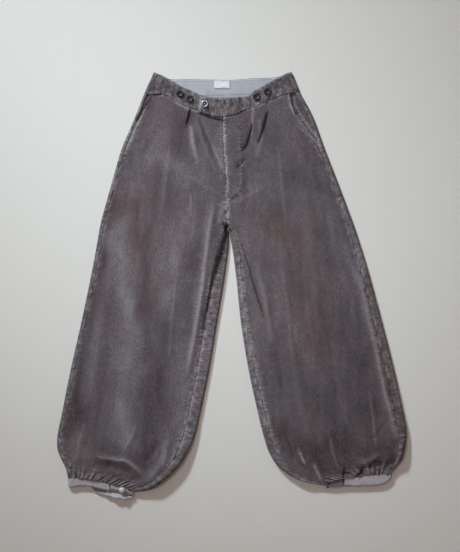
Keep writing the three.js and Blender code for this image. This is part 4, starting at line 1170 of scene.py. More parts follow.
def back_seam_y(x):
    """The y at x of the seam between the backs and the back waistband."""
    ends = [inset(edge(leg, "outer", 0.0), LAID_HEIGHT / 2) for leg in LEGS]
    points = [(float(e.real), float(e.imag)) for e in ends]
    return line_y((points[0], *BACK_SEAM, points[1]), x)


def under_rise(place):
    """How far the creases lift the backs from the surface."""
    rise = np.zeros(place.shape)
    for height, half_width, path in UNDER_CREASES:
        distance, along = near_path(smooth_path(path), place)
        rise += height * fading_ends(along) * bell(distance, half_width)
    return rise


def back_panel(leg):
    """A leg's back, which lies on the surface and folds up at the side and at the inseam."""
    v, along = front_rows(leg, BACK_ROWS)
    outer, outer_z, inner, inner_z = back_section(leg, v, CLOTH)
    near_top = smooth(0.8, 0, v)[:, None] * smooth(LAID_HEIGHT * 0.5, 0, outer_z)
    seam_shift = (back_seam_y(outer.real) - outer[0].imag[None, :]) * near_top * (v[:, None] < 0.8)
    outer = outer + 1j * seam_shift
    inner = inner + 1j * seam_shift
    lift = smooth(0.55, 1, outer_z / column(leg, "side_height", v)[:, None])
    from_side = run_along(outer.real + 1j * outer_z)
    width = from_side[:, -1:]
    from_inseam = width - from_side
    seed = 60 + leg["outward"]
    at_side, side_rub = seam_relief(from_side, along[:, None], seed)
    at_inseam, inseam_rub = seam_relief(from_inseam, along[:, None], seed + 3)
    below_crotch = smooth(CROTCH_ROW + 0.2, CROTCH_ROW + 0.6, v)[:, None]
    relief = lift * (at_side + at_inseam * below_crotch)
    on_floor = smooth(2.0, 0.2, outer_z)
    off_seams = smooth(14, 30, np.minimum(from_side, from_inseam))
    relief = relief + on_floor * under_rise(outer) * off_seams
    # the folded edges are lighter, as worn cloth and painted highlight, with darker mottle
    edge_mottle = mottle(along[:, None] / 7, from_side / 9, seed + 6)
    rubbed_and_lit = side_rub + inseam_rub * below_crotch + lift * (0.1 + 0.3 * np.maximum(0, edge_mottle))
    shaded = lift * 0.3 * np.maximum(0, -edge_mottle)
    wear_and_light = wear_and_light_of(rubbed_and_lit, shaded, outer, 0.5 * lift)
    grain = grain_of(from_side - width / 2, along[:, None])
    lay_cloth(f"back_{leg['side']}_cloth", points_of(outer, outer_z + relief),
              points_of(inner, inner_z + relief), grain, wear_and_light, CLOTH_GREY, "corduroy",
              f"back_{leg['side']}", flat=(0.42, 1.02), area=0.32, rests_on=("laying_surface",))


# Pocket facings and the strip under the fly

def strip(node, start, end, height, columns, flat, area=None):
    """A flat strip of corduroy between two lines of plan places."""
    share = np.linspace(0, 1, columns)[None, :]
    place = lerp(start[:, None], end[:, None], share)
    width = np.abs(end - start)[:, None]
    grain = grain_of(share * width, run_along(start)[:, None])
    none = np.zeros(place.shape)
    lay_cloth(node + "_cloth", *flat_faces(place, height, CLOTH), grain, wear_and_light_of(none, none, place),
              CLOTH_GREY, "corduroy", node, flat, area)


def pocket_facing(leg):
    """The strip that shows in a pocket's mouth and runs in under the front."""
    v = np.linspace(0.06, POCKET_END, 60)
    mouth = np.maximum(column(leg, "side", v), column(leg, "mouth", v))
    start = inset(edge(leg, "outer", v), column(leg, "side", v) + SEAM)
    end = inset(edge(leg, "outer", v), mouth + POCKET_UNDER)
    strip(f"pocket_facing_{leg['side']}", start, end, LAID_HEIGHT - CLOTH - POCKET_DROP, 24,
          flat=(0.045, 0.17), area=0.0045 if leg is LEFT else 0.0034)


def fly_underlap():
    """The strip under the left front, beside the right front's edge."""
    v = np.linspace(0.04, FLY_END - 0.1, 90)
    line = outline(RIGHT, "inner", v)
    start = line + UNDER_FLY + 3 * SEAM - 1j
    end = line + FLY_WIDTH - 1j
    strip("fly_underlap", start, end, LAID_HEIGHT, 12, flat=(0.021, 0.2))


# Waistband

def band_end(leg, t):
    """The folded side of the back band, from its lower edge (0) to its upper one (1)."""
    place, into = edge(leg, "outer", 0.0)
    tip_into = leg["outward"] * -0.91 - 0.42j   # the band's direction in from its upper corner
    return lerp(place + 1j * (SEAM + 0.1), leg["waist_tip"], t), lerp(into, tip_into, t)


def band_line(leg, line):
    """A line along a front band's top, carried on to the folded side."""
    tip = inset(band_end(leg, 1.0), BAND_LIP + SEAM)
    return ((float(np.real(tip)), float(np.imag(tip))), *line)


def front_top(leg, count):
    """The front panel's upper edge, carried on to the side band's seam."""
    start = inset(band_end(leg, 0.0), BAND_LIP + SEAM) - 1j * SEAM
    panel = front_place(leg, np.linspace(0, 1, count), 0.0)
    return np.concatenate([[start, lerp(start, panel[0], 0.5)], panel])


BAND_ROWS = 20


def front_band(leg, low, line, height, flat, area):
    """A front waistband between a panel's upper edge and a line along its own top. Its height over the
    surface is a function of x."""
    top = band_line(leg, line)
    share = (low.real - low.real[0]) / (low.real[-1] - low.real[0])
    top_x = lerp(top[0][0], top[-1][0], share)
    t = np.linspace(0, 1, BAND_ROWS)[:, None]
    x = lerp(low.real, top_x, t)
    y = lerp(low.imag + SEAM, line_y(top, top_x), t)
    place = x + 1j * y
    along = run_along(low)[None, :]
    from_end = along[:, -1:] - along
    depth = np.abs(place - place[:1])
    from_top = depth[-1:] - depth
    seed = 90 + leg["outward"]
    at_low, low_rub = seam_relief(depth, along, seed)
    puckers = mottle(along / 8, depth / 12, seed + 3)
    quilt = 0.8 * puckers * smooth(0, 6, depth) * smooth(0, 5, from_top)
    edge_roll = -1.2 * bell(from_top, 1.6) - 0.4 * bell(from_top - 4.5, 1.2)
    ends = -0.2 * bell(along, 1.5) - bell(from_end, 1.5)
    z = height(x) + quilt + at_low * 0.8 + edge_roll + ends
    blotches = mottle(along / 5, depth / 6, seed + 5)
    small_blotches = mottle(along / 2.6, depth / 4, seed + 7)
    # the top and end edges and the puckers' crests are lighter, as worn cloth and painted highlight, the
    # puckers' troughs get painted shade, the blotches are the cloth's own mottle, and it is darker in spots
    # above the lower seam
    rubbed_and_lit = low_rub + 0.5 * bell(from_top - 1.5, 1.8) + 0.25 * np.maximum(0, puckers)
    rubbed_and_lit = rubbed_and_lit + 0.5 * bell(from_end - 2.0, 2.0) + 0.3 * np.maximum(0, blotches)
    rubbed_and_lit = rubbed_and_lit + 0.2 * np.maximum(0, small_blotches)
    shaded = 0.25 * np.maximum(0, -puckers) + 0.3 * np.maximum(0, -blotches)
    shaded = shaded + 0.9 * bell(depth - 4, 5) * np.maximum(0, -small_blotches)
    wear_and_light = wear_and_light_of(rubbed_and_lit, shaded, place, 0.4 + 0.55 * np.maximum(bell(depth, 8), bell(from_top, 8)))
    node = f"waistband_{leg['side']}"
    lay_cloth(node + "_cloth", *flat_faces(place, z, BAND_CLOTH), grain_of(depth, along), wear_and_light, CLOTH_BAND,
              "band_corduroy", node, flat, area, roll=0.3, rests_on=("waistband_facing_cloth",))


def band_right():
    low = front_top(RIGHT, 130)
    low = low[low.real < BAND_RIGHT_END - 1]
    end = BAND_RIGHT_END + 1j * line_y(WAIST_SEAM_RIGHT, BAND_RIGHT_END)
    front_band(RIGHT, np.append(low, end), BAND_TOP_RIGHT, lambda x: np.full(x.shape, BAND_HEIGHT),
               flat=(0.19, 0.055), area=0.0092)


TAB_DOWN_FROM = 8.0     # from here to the next x, the left band comes down off the right one
TAB_DOWN_TO = 30.0


def tab_height(x):
    """The height of the left band, whose tab lies on the right one."""
    return BAND_HEIGHT + TAB_RISE * (1 - smooth(TAB_DOWN_FROM, TAB_DOWN_TO, x))


def band_left():
    x = np.linspace(TAB_LOW[0][0] - 1.5, TAB_LOW[-1][0], 40)
    low = np.concatenate([front_top(LEFT, 120), x + 1j * line_y(TAB_LOW, x)])
    front_band(LEFT, low, BAND_TOP_LEFT, tab_height, flat=(0.25, 0.055), area=0.0125)


def band_back():
    """The back band lies on the surface and folds up at both sides to meet the front bands."""
    t = np.linspace(0, 1, BAND_ROWS)
    folds = []
    for leg in LEGS:
        place, into = band_end(leg, t)
        ones = np.ones(t.shape)
        folds.append(folded_edge((place, into), BAND_HEIGHT * ones, ones, BAND_LIP * ones, BAND_CLOTH,
                                 shift=0.0))
    right, left = folds
    share = np.linspace(0, 1, 140)[None, 1:-1]
    x = lerp(right[0][:, :1].real, left[0][:, :1].real, share)
    low_x = lerp(right[0][:1, :1].real, left[0][:1, :1].real, share)
    y = lerp(back_seam_y(low_x) + SEAM, line_y(BACK_BAND_TOP, x), t[:, None])
    place = x + 1j * y
    floor = (place, np.zeros(place.shape), place, np.full(place.shape, BAND_CLOTH))
    outer, outer_z, inner, inner_z = (
        np.concatenate([a[:, ::-1], b, c], axis=1) for a, b, c in zip(right, floor, left))
    along = run_along(outer, outer_z)
    depth = np.broadcast_to(t[:, None] * BACK_BAND_DEPTH, outer.shape)
    from_top = BACK_BAND_DEPTH - depth
    puckers = mottle(along / 8, depth / 12, 97)
    lift = smooth(0.6, 1, outer_z / BAND_HEIGHT)
    relief = lift * (0.4 * puckers - bell(from_top, 1.6) - bell(depth, 1.6))
    relief = relief + smooth(1.5, 0.2, outer_z) * 0.3 * np.maximum(0, puckers)
    # lighter on the top edge and the puckers' crests as worn cloth and painted highlight, with painted
    # shade in the puckers' troughs
    rubbed_and_lit = 0.45 * bell(from_top - 1.5, 2.0) + lift * 0.3 * np.maximum(0, puckers)
    wear_and_light = wear_and_light_of(rubbed_and_lit, 0.2 * np.maximum(0, -puckers), outer, np.full(outer.shape, 0.85))
    lay_cloth("waistband_back_cloth", points_of(outer, outer_z + relief),
              points_of(inner, inner_z + relief), grain_of(depth, along), wear_and_light, CLOTH_BAND,
              "band_corduroy", "waistband_back", flat=(0.43, 0.055), area=0.0205, roll=0.4,
              rests_on=("laying_surface",))


FACING_TOP = BAND_CLOTH + SEAM + LINING
FACING_SPAN = (-178.0, 136.0)


def band_facing():
    """The striped facing inside the back waistband, which reaches below the band's seam."""
    x = np.linspace(*FACING_SPAN, 170)[None, :]
    t = np.linspace(0, 1, 34)[:, None]
    y = lerp(back_seam_y(x) - 6, line_y(BACK_BAND_TOP, x) - 1.5, t)
    place = x + 1j * y
    depth = t * FACING_DEPTH
    waves = mottle(x / 22, depth / 30, 31) + 0.5 * mottle(x / 6, depth / 14, 33)
    from_seam = np.abs(y - line_y(FACING_SEAM, x))
    z = FACING_TOP + 0.35 * waves - 0.5 * bell(from_seam, 1.2) - 0.5 * bell(FACING_DEPTH - depth, 1.4)
    shaded = 0.28 * bell(from_seam, 1.4) * (0.6 + 0.4 * mottle(x / 5, depth, 35))
    shaded = shaded + 0.08 * np.maximum(0, waves)
    lay_cloth("waistband_facing_cloth", *flat_faces(place, z, LINING), grain_of(x, depth),
              plain_wear_and_shade(shaded, np.zeros(place.shape)), LINING_STRIPE, "striped_cotton",
              "waistband_facing", flat=(0.32, 0.045), roll=0.2, rests_on=("waistband_back_cloth",))


def label_place(s, t):
    """A place on the label: s across it and t up it, both from 0 to 1."""
    x = LABEL_X + lerp(-LABEL_WIDTH / 2, LABEL_WIDTH / 2, s)
    top = line_y(BACK_BAND_TOP, np.full(1, LABEL_X))[0] - 2
    return x + 1j * (top - LABEL_DEPTH * (1 - t))


def label():
    """The blank label on the facing, sewn down round its border."""
    s = np.linspace(0, 1, 44)[None, :]
    t = np.linspace(0, 1, 24)[:, None]
    place = label_place(s, t)
    border = np.minimum(np.minimum(s, 1 - s) * LABEL_WIDTH, np.minimum(t, 1 - t) * LABEL_DEPTH)
    waves = mottle(s * 6, t * 4, 41)
    relief = 0.35 * waves * smooth(1, 4, border) + 0.25 * smooth(1.6, 3, border)
    z = FACING_TOP + SEAM + LABEL_CLOTH + relief
    shaded = 0.12 * bell(border - 1.6, 0.7) + 0.1 * np.maximum(0, waves)
    lay_cloth("label_cloth", *flat_faces(place, z, LABEL_CLOTH), grain_of(s * LABEL_WIDTH, t * LABEL_DEPTH),
              plain_wear_and_shade(shaded, np.zeros(place.shape)), LABEL_COTTON, "label_cotton", "label",
              flat=(0.041, 0.022), roll=0.2, rests_on=("waistband_facing_cloth",))


# Cuffs: the lower edge from the side to the slit and from there on, the slit, and from where to where
# the back of the ring runs in under the front and can't be seen

CUFF_RIGHT = {
    "front_low": ((-392, -485), (-382, -486), (-365, -482), (-345, -483), (-320, -488), (-292, -494)),
    "flap_low": ((-292, -490), (-265, -495), (-236, -502)),
    "slit_x": -292.0,
    "hidden": (-326.0, -340.0),
}
CUFF_LEFT = {
    "front_low": ((386, -458), (380, -466), (368, -475), (352, -480), (326, -482), (289, -483),
                  (270, -482)),
    "flap_low": ((270, -481), (248, -485), (227, -485)),
    "slit_x": 270.0,
    "hidden": (345.0, 358.0),
}
TORN_RISE = 9.0             # how far the right cuff's torn end stands up from the surface,
TORN_X = -268.0             # where it is
TORN_HALF = 36.0            # and its half width
FRAYED = (273.0, 267.0)     # from where to where the left cuff's flap frays
IN_SHADE = (-296.0, -306.0)  # from where to where the right cuff's back goes into the front's shade
CUFF_SEAM = SEAM + 0.1
CUFF_ROWS = 16
LEAST_CUFF = 1.5            # the least depth of the ring's back, where the front hides it
CORNER_GAP = 2.0            # how far the cuff's corners keep off the panel's


def cuff_ring(leg, shape):
    """A cuff's upper edge, as a flat ring: over the front from the slit to the side, round to the back
    and along the surface, and round the inner end up to the front again. Plan places and heights of the
    outer and the inner face, and how deep the cuff is at each."""
    side_corner = complex(side_edge(leg, float(LAST_ROW)))
    inner_corner = complex(centre_edge(leg, float(LAST_ROW)))
    corner_gap = leg["outward"] * CORNER_GAP

    def on_front(x, low):
        y = line_y(leg["hem"], x) - CUFF_SEAM
        return x + 1j * y, y - line_y(low, x)

    front, front_depth = on_front(np.linspace(shape["slit_x"], side_corner.real - corner_gap, 62),
                                  shape["front_low"])
    flap, flap_depth = on_front(np.linspace(inner_corner.real + corner_gap,
                                            shape["slit_x"] - leg["outward"] * SLIT, 44), shape["flap_low"])
    section = back_section(leg, np.array([float(LAST_ROW)]), CUFF_CLOTH, 60)
    outer, outer_z, inner, inner_z = (a[0] for a in section)
    half = np.arange(len(outer)) < len(outer) / 2
    up = np.clip(outer_z / CUFF_HEIGHT, 0, 1)
    ring_depth = lerp(CUFF_WIDTH, np.where(half, front_depth[-1], flap_depth[0]), up)
    near_flap = smooth(0.72, 0.97, np.arange(len(outer)) / len(outer))
    behind_flap = outer.imag - CUFF_SEAM + 1.0 - line_y(shape["flap_low"], outer.real)
    behind_front = outer.imag - CUFF_SEAM - 1.5 - line_y(shape["front_low"], outer.real)
    for room, share in ((behind_flap, near_flap), (behind_front, smooth(*shape["hidden"], outer.real))):
        ring_depth = lerp(ring_depth, np.minimum(ring_depth, np.maximum(LEAST_CUFF, room)), share)

    outer = np.concatenate([front, outer - 1j * CUFF_SEAM, flap])
    inner = np.concatenate([front, inner - 1j * CUFF_SEAM, flap])
    top_z = np.full(front.shape, CUFF_HEIGHT)
    flap_z = np.full(flap.shape, CUFF_HEIGHT)
    outer_z = np.concatenate([top_z, outer_z, flap_z])
    inner_z = np.concatenate([top_z - CUFF_CLOTH, inner_z, flap_z - CUFF_CLOTH])
    return outer, outer_z, inner, inner_z, np.concatenate([front_depth, ring_depth, flap_depth])


def cuff(leg, shape):
    """A band sewn to the leg's end, from the ring of its upper edge down to its lower edge."""
    outer, outer_z, inner, inner_z, depth = (a[None, :] for a in cuff_ring(leg, shape))
    t = np.linspace(0, 1, CUFF_ROWS)[:, None]
    along = run_along(outer, outer_z)
    down = t * depth
    from_low = depth - down
    seed = 120 + leg["outward"]
    ragged = 1.4 * mottle(along / 5, np.zeros(along.shape), seed + 6) * t**3
    outer_place = outer - 1j * (down + ragged)
    inner_place = inner - 1j * (down + ragged)
    lift = smooth(0.6, 1, outer_z / CUFF_HEIGHT)
    puckers = mottle(along / 5.5, down / 20, seed)
    at_border = bell(np.minimum(down, from_low), 1.2)
    relief = lift * (0.75 * puckers * smooth(16, 2, down) - 0.8 * at_border + 0.4)
    relief = relief + (1 - lift) * 0.3 * np.maximum(0, puckers) * smooth(3, 0.5, outer_z)
    torn = bell(outer.real - TORN_X, TORN_HALF) * (1 - lift) * (leg is RIGHT)
    relief = relief + TORN_RISE * torn * smooth(0.3, 1, t) * (1 + 0.25 * puckers)
    # painted shade in the puckers' troughs and where the right cuff's back lies under the front, and darker
    # along the lower edge
    shaded = 0.35 * np.maximum(0, -puckers) * smooth(8, 0, down) + 0.25 * bell(from_low, 1.6)
    shaded = shaded + 0.5 * (1 - lift) * smooth(*IN_SHADE, outer_place.real) * (1 - smooth(0.6, 0.9, t))
    frayed = smooth(*FRAYED, outer_place.real) * (leg is LEFT)
    stains = 0.3 * np.maximum(0, mottle(along / 12, down / 9, seed + 3))
    wear_and_light = plain_wear_and_shade(shaded + 0.45 * frayed * (0.6 + 0.4 * puckers), frayed + stains)
    lay_cloth(f"cuff_{leg['side']}_cloth", points_of(outer_place, outer_z + relief),
              points_of(inner_place, inner_z + relief), grain_of(along, down), wear_and_light, CUFF_COTTON,
              "cuff_cotton", f"cuff_{leg['side']}", flat=(0.34, 0.026), area=0.0064, roll=0.2,
              rests_on=("laying_surface",))


for each_leg in LEGS:
    front_panel(each_leg)
    back_panel(each_leg)
    pocket_facing(each_leg)
fly_underlap()
band_right()
band_left()
band_back()
band_facing()
label()
cuff(RIGHT, CUFF_RIGHT)
cuff(LEFT, CUFF_LEFT)


# The surface under the garment, the light and the camera, whose places and sizes are in metres

FLOOR_SIZE = 14.0
FLOOR_DROP = 0.0004
PIXEL = 0.0024          # what one pixel of the photograph spans on the surface
PHOTO_HEIGHT = 552      # height of the photograph in pixels
LENS = 85.0             # focal length in millimetres
SENSOR = 36.0           # and how wide the sensor is
VIEW_CENTRE = (-0.00395, 0.0247)
KEY_LIGHT = {"place": (-2.1, 3.3, 1.75), "aim": (-0.08, 0.08, 0.0), "size": 0.5, "power": 29.0,
             "tint": (0.845, 0.947, 1.0), "spread": 64}
SOFT_LIGHT = {"place": (-1.7, 0.7, 3.3), "aim": (0.02, 0.12, 0.0), "size": 1.2, "power": 1.5,
              "tint": (0.90, 0.97, 1.0), "spread": 23}
ROOM_TINT = (1.0, 0.76, 0.61, 1.0)
ROOM_STRENGTH = 0.26


def laying_surface():
    """The pale board that the garment lies on."""
    half = FLOOR_SIZE / 2
    corners = [(-half, -half), (half, -half), (half, half), (-half, half)]
    mesh = bpy.data.meshes.new("laying_surface")
    mesh.from_pydata([(x, y, -FLOOR_DROP) for x, y in corners], [], [(0, 1, 2, 3)])
    f = Finish("pale_board")
    soft = f.noise(f.here(), 3.0, 3.0, 0.5)
    tooth = f.noise(f.here(), 700.0, 2.0, 0.6)
    f.set(Base_Color=f.mix(BOARD_PALE, BOARD_DULL, soft), Roughness=0.9, Normal=f.bump(tooth, BOARD_TOOTH))
    mesh.materials.append(f.material)
    surface = bpy.data.objects.new("laying_surface", mesh)
    bpy.context.collection.objects.link(surface)


def area_light(name, place, aim, size, power, tint, spread):
    """A round lamp that looks from its place at its aim, with its spread in degrees."""
    data = bpy.data.lights.new(name, "AREA")
    data.shape = "DISK"
    data.size = size
    data.energy = power
    data.color = tint
    data.spread = math.radians(spread)
    lamp = bpy.data.objects.new(name, data)
    bpy.context.collection.objects.link(lamp)
    lamp.location = place
    lamp.rotation_euler = (Vector(aim) - Vector(place)).to_track_quat("-Z", "Y").to_euler()


def studio():
    area_light("key_light", **KEY_LIGHT)
    area_light("soft_light", **SOFT_LIGHT)
    world = bpy.data.worlds.new("soft_room")
    world.use_nodes = True
    background = world.node_tree.nodes["Background"]
    background.inputs["Color"].default_value = ROOM_TINT
    background.inputs["Strength"].default_value = ROOM_STRENGTH
    scene = bpy.context.scene
    scene.world = world
    scene.view_settings.view_transform = "Standard"
    scene.view_settings.look = "None"


def photo_camera():
    """The camera stands where the photograph's height fills its view of the surface."""
    data = bpy.data.cameras.new("photo_camera")
    data.lens = LENS
    data.sensor_width = SENSOR
    data.dof.use_dof = False
    camera = bpy.data.objects.new("photo_camera", data)
    bpy.context.collection.objects.link(camera)
    distance = PHOTO_HEIGHT * PIXEL * LENS / SENSOR
    camera.location = (*VIEW_CENTRE, distance)
    camera.rotation_euler = (0.0, 0.0, 0.0)
    bpy.context.scene.camera = camera


laying_surface()
studio()
photo_camera()


# Stitches and loose threads, set down on the cloth

RAY_FROM = 100.0        # a height well over all of the cloth


class Rays:
    """The cloth's upper surface, to find its height at a plan place."""

    def __init__(self, pieces):
        points, faces = [], []
        for piece in pieces:
            start = len(points)
            points.extend(v.co for v in piece.data.vertices)
            faces.extend([start + i for i in polygon.vertices] for polygon in piece.data.polygons)
        self.tree = BVHTree.FromPolygons(points, faces)

    def height(self, place):
        """The height in millimetres of the highest cloth at a plan place, or None off the cloth."""
        hit = self.tree.ray_cast(Vector(in_frame(place, RAY_FROM)), Vector((0, 0, -1)))
        return None if hit[0] is None else hit[0].z / MM


rays = Rays(SHOWN)


def node_group(name, sizes):
    """An empty tree of geometry nodes with one input for each size."""
    group = bpy.data.node_groups.new(name, "GeometryNodeTree")
    group.interface.new_socket(name="Geometry", in_out="INPUT", socket_type="NodeSocketGeometry")
    for size in sizes:
        kind = "NodeSocketInt" if size == "Seed" else "NodeSocketFloat"
        group.interface.new_socket(name=size, in_out="INPUT", socket_type=kind)
    group.interface.new_socket(name="Geometry", in_out="OUTPUT", socket_type="NodeSocketGeometry")
    return group


def grow(group, kind, settings, inputs):
    """A new node with its settings, and its inputs linked to a socket or given a value."""
    node = group.nodes.new(kind)
    for key, value in settings.items():
        setattr(node, key, value)
    for key, value in inputs.items():
        if isinstance(value, bpy.types.NodeSocket):
            group.links.new(value, node.inputs[key])
        else:
            node.inputs[key].default_value = value
    return node


def maths(group, operation, first, second):
    """The result of a maths node."""
    return grow(group, "ShaderNodeMath", {"operation": operation}, {0: first, 1: second}).outputs[0]


def triple(group, x, y, z):
    """A vector of three numbers."""
    return grow(group, "ShaderNodeCombineXYZ", {}, {0: x, 1: y, 2: z}).outputs[0]


def thread_tree(name, material, upright):
    """Threads along a path: stitches that lie along it, or strands that stand out across it."""
    group = node_group(name, ("Spacing", "Length", "Radius", "Unevenness", "Seed"))
    given = group.nodes.new("NodeGroupInput").outputs
    path = grow(group, "GeometryNodeMeshToCurve", {}, {"Mesh": given["Geometry"]})
    spots = grow(group, "GeometryNodeCurveToPoints", {"mode": "LENGTH"},
                 {"Curve": path.outputs["Curve"], "Length": given["Spacing"]})
    half_length = maths(group, "MULTIPLY", given["Length"], 0.5)
    flat_radius = maths(group, "MULTIPLY", given["Radius"], FLATTENED)
    ball = grow(group, "GeometryNodeMeshUVSphere", {}, {"Segments": 6, "Rings": 5, "Radius": 1.0})
    size = triple(group, given["Radius"], flat_radius, half_length)
    strand = grow(group, "GeometryNodeTransform", {}, {"Geometry": ball.outputs["Mesh"], "Scale": size})
    aim = spots.outputs["Normal" if upright else "Tangent"]
    shortest = maths(group, "SUBTRACT", 1.0, given["Unevenness"])
    longest = maths(group, "ADD", 1.0, given["Unevenness"])
    stretch = grow(group, "FunctionNodeRandomValue", {"data_type": "FLOAT"},
                   {2: shortest, 3: longest, "Seed": given["Seed"]})
    swing = maths(group, "MULTIPLY", given["Unevenness"], 0.5)
    back = maths(group, "MULTIPLY", swing, -1.0)
    sway = grow(group, "FunctionNodeRandomValue", {"data_type": "FLOAT_VECTOR"},
                {0: triple(group, back, back, 0.0), 1: triple(group, swing, swing, 0.0),
                 "Seed": given["Seed"]})
    leaning = grow(group, "ShaderNodeVectorMath", {"operation": "ADD"}, {0: aim, 1: sway.outputs[0]})
    turned = grow(group, "FunctionNodeAlignRotationToVector", {"axis": "Z"}, {"Vector": leaning.outputs[0]})
    placed = grow(group, "GeometryNodeInstanceOnPoints", {},
                  {"Points": spots.outputs["Points"], "Instance": strand.outputs[0],
                   "Rotation": turned.outputs[0], "Scale": stretch.outputs[1]})
    real = grow(group, "GeometryNodeRealizeInstances", {}, {"Geometry": placed.outputs[0]})
    finished = grow(group, "GeometryNodeSetMaterial", {},
                    {"Geometry": real.outputs[0], "Material": material})
    group.links.new(finished.outputs[0], group.nodes.new("NodeGroupOutput").inputs[0])
    return group


THREAD_STEP = 2.0       # a thread's path is cut into steps of about this length
THREAD_LIFT = 0.1       # and laid this far over the cloth
FLATTENED = 0.8         # how flat a thread is pressed


def on_cloth(path):
    """A plan path cut into short steps and laid on the cloth, in metres."""
    length = run_along(path)
    count = max(2, int(length[-1] / THREAD_STEP) + 1)
    along = np.linspace(0, length[-1], count)
    places = np.interp(along, length, path.real) + 1j * np.interp(along, length, path.imag)
    heights = [rays.height(p) for p in places]
    kept = [(p, h) for p, h in zip(places, heights) if h is not None]
    return [in_frame(p, h + THREAD_LIFT) for p, h in kept]


def sew(name, paths, material, spacing, length, radius, seed, unevenness=0.12, upright=False):
    """One piece with a row of threads along each path."""
    points, edges = [], []
    for path in paths:
        laid = on_cloth(path)
        start = len(points)
        points.extend(laid)
        edges.extend((start + k, start + k + 1) for k in range(len(laid) - 1))
    mesh = bpy.data.meshes.new(name + "_path")
    mesh.from_pydata(points, edges, [])
    host = bpy.data.objects.new(name + "_path", mesh)
    bpy.context.collection.objects.link(host)
    group = thread_tree(name + "_nodes", material, upright)
    modifier = host.modifiers.new("threads", "NODES")
    modifier.node_group = group
    values = {"Spacing": spacing * MM, "Length": length * MM, "Radius": radius * MM,
              "Unevenness": unevenness, "Seed": seed}
    for socket in group.interface.items_tree:
        if socket.in_out == "INPUT" and socket.name in values:
            modifier[socket.identifier] = values[socket.name]
    evaluated = host.evaluated_get(bpy.context.evaluated_depsgraph_get())
    threads = bpy.data.meshes.new_from_object(evaluated)
    threads.name = name
    host.modifiers.remove(modifier)
    bpy.data.objects.remove(host)
    threads.shade_smooth()
    place_piece(name, threads, material)


# How far in from an edge or a seam each row of stitches lies

SEAM_ROW = 1.8
POCKET_ROWS = (SEAM_ROW, 7.5)
FLY_ROWS = (2.2, 4.6)
UNDER_FLY_ROWS = (8.0, 10.5)
FLY_CURVE = ((20.4, 395), (20.6, 360), (20.9, 320), (23.6, 275), (23.8, 253), (19.9, 229), (10, 214),
             (-5, 207))
FLY_CURVE_APART = 2.6
TACK_LENGTH = 9.0
BAND_TOP_ROW = 3.2
WAIST_ROW = 3.0
CUFF_ROW = 2.4
FACING_ROW = 4.2


def row_through(*places):
    """A row of stitches through plan places."""
    return smooth_path([(p.real, p.imag) for p in places], 12)


def row_beside(line, x, rise):
    """A row of stitches at a distance above a line, or below it where rise is below zero."""
    return x + 1j * (line_y(line, x) + rise)


def fly_stitches():
    v = np.linspace(0.05, FLY_END - 0.25, 80)
    edge_rows = [centre_edge(LEFT, v, further) for further in FLY_ROWS]
    curve = smooth_path(FLY_CURVE, 12)
    under = [centre_edge(RIGHT, v, further) for further in UNDER_FLY_ROWS]
    bar = [row_through(-14 + 214j, -2 + 209j), row_through(-13 + 211j, -1 + 206j)]
    return edge_rows + [curve, curve - FLY_CURVE_APART] + under + bar


def pocket_stitches(leg):
    v = np.linspace(0.03, POCKET_END, 80)
    rows = [side_edge(leg, v, further) for further in POCKET_ROWS]
    low = side_edge(leg, POCKET_END)
    tack_end = low - leg["outward"] * TACK_LENGTH
    return rows + [row_through(low, tack_end + 1j * up) for up in (-1.5, 0.0, 1.5)]


def leg_seam_stitches(leg):
    side_v = np.linspace(POCKET_END, LAST_ROW - 0.3, 200)
    inseam_v = np.linspace(CROTCH_ROW + 1.3, LAST_ROW - 0.4, 200)
    return [side_edge(leg, side_v, SEAM_ROW), centre_edge(leg, inseam_v, SEAM_ROW)]


def band_stitches():
    """Rows along the front bands and beside the waist seam, then round the tab."""
    rows = []
    for leg, top, low, far in ((RIGHT, BAND_TOP_RIGHT, WAIST_SEAM_RIGHT, -80.0),
                               (LEFT, BAND_TOP_LEFT, WAIST_SEAM_LEFT, -19.0)):
        whole_top = band_line(leg, top)
        rows.append(row_beside(whole_top, np.linspace(whole_top[0][0], far, 80), -BAND_TOP_ROW))
        low_x = np.linspace(low[0][0], far, 80)
        rows += [row_beside(low, low_x, rise) for rise in (WAIST_ROW, -WAIST_ROW)]
    tab_x = np.linspace(-19.0, -76.0, 40)
    rows.append(row_beside(TAB_LOW, tab_x, WAIST_ROW))
    rows.append(tab_x + 1j * (line_y(BAND_TOP_LEFT, np.maximum(tab_x, -71)) - BAND_TOP_ROW))
    rows.append(row_through(-69.5 + 446j, -72 + 432j, -74.5 + 417j))
    rows.append(row_through(-87 + 452j, -88 + 440j, -89 + 424j))
    return rows


def cuff_stitches(leg, shape):
    slit = shape["slit_x"]
    front = sorted((slit + leg["outward"] * 2, side_edge(leg, float(LAST_ROW)).real))
    flap = sorted((slit - leg["outward"] * (SLIT + 2), centre_edge(leg, float(LAST_ROW)).real))
    x = np.linspace(*front, 60)
    return [row_beside(leg["hem"], x, -CUFF_ROW), row_beside(shape["front_low"], x, CUFF_ROW),
            row_beside(leg["hem"], np.linspace(*flap, 40), -CUFF_ROW)]


def cuff_frays():
    """The torn ends of both cuffs' flaps."""
    return [smooth_path(((-268, -492.5), (-252, -495), (-238, -498)), 12),
            smooth_path(((-240, -493), (-238, -500)), 12),
            smooth_path(((232, -483), (248, -483.5), (266, -480)), 12)]


def facing_stitches():
    x = np.linspace(-150, 108, 80)
    return [row_beside(FACING_SEAM, x, 0.0), row_beside(BACK_BAND_TOP, x, -FACING_ROW)]


def label_stitches():
    corners = [(0.04, 0.08), (0.96, 0.08), (0.96, 0.92), (0.04, 0.92), (0.04, 0.08)]
    places = [complex(label_place(s, t)) for s, t in corners]
    return [np.array([a, b]) for a, b in zip(places, places[1:])]


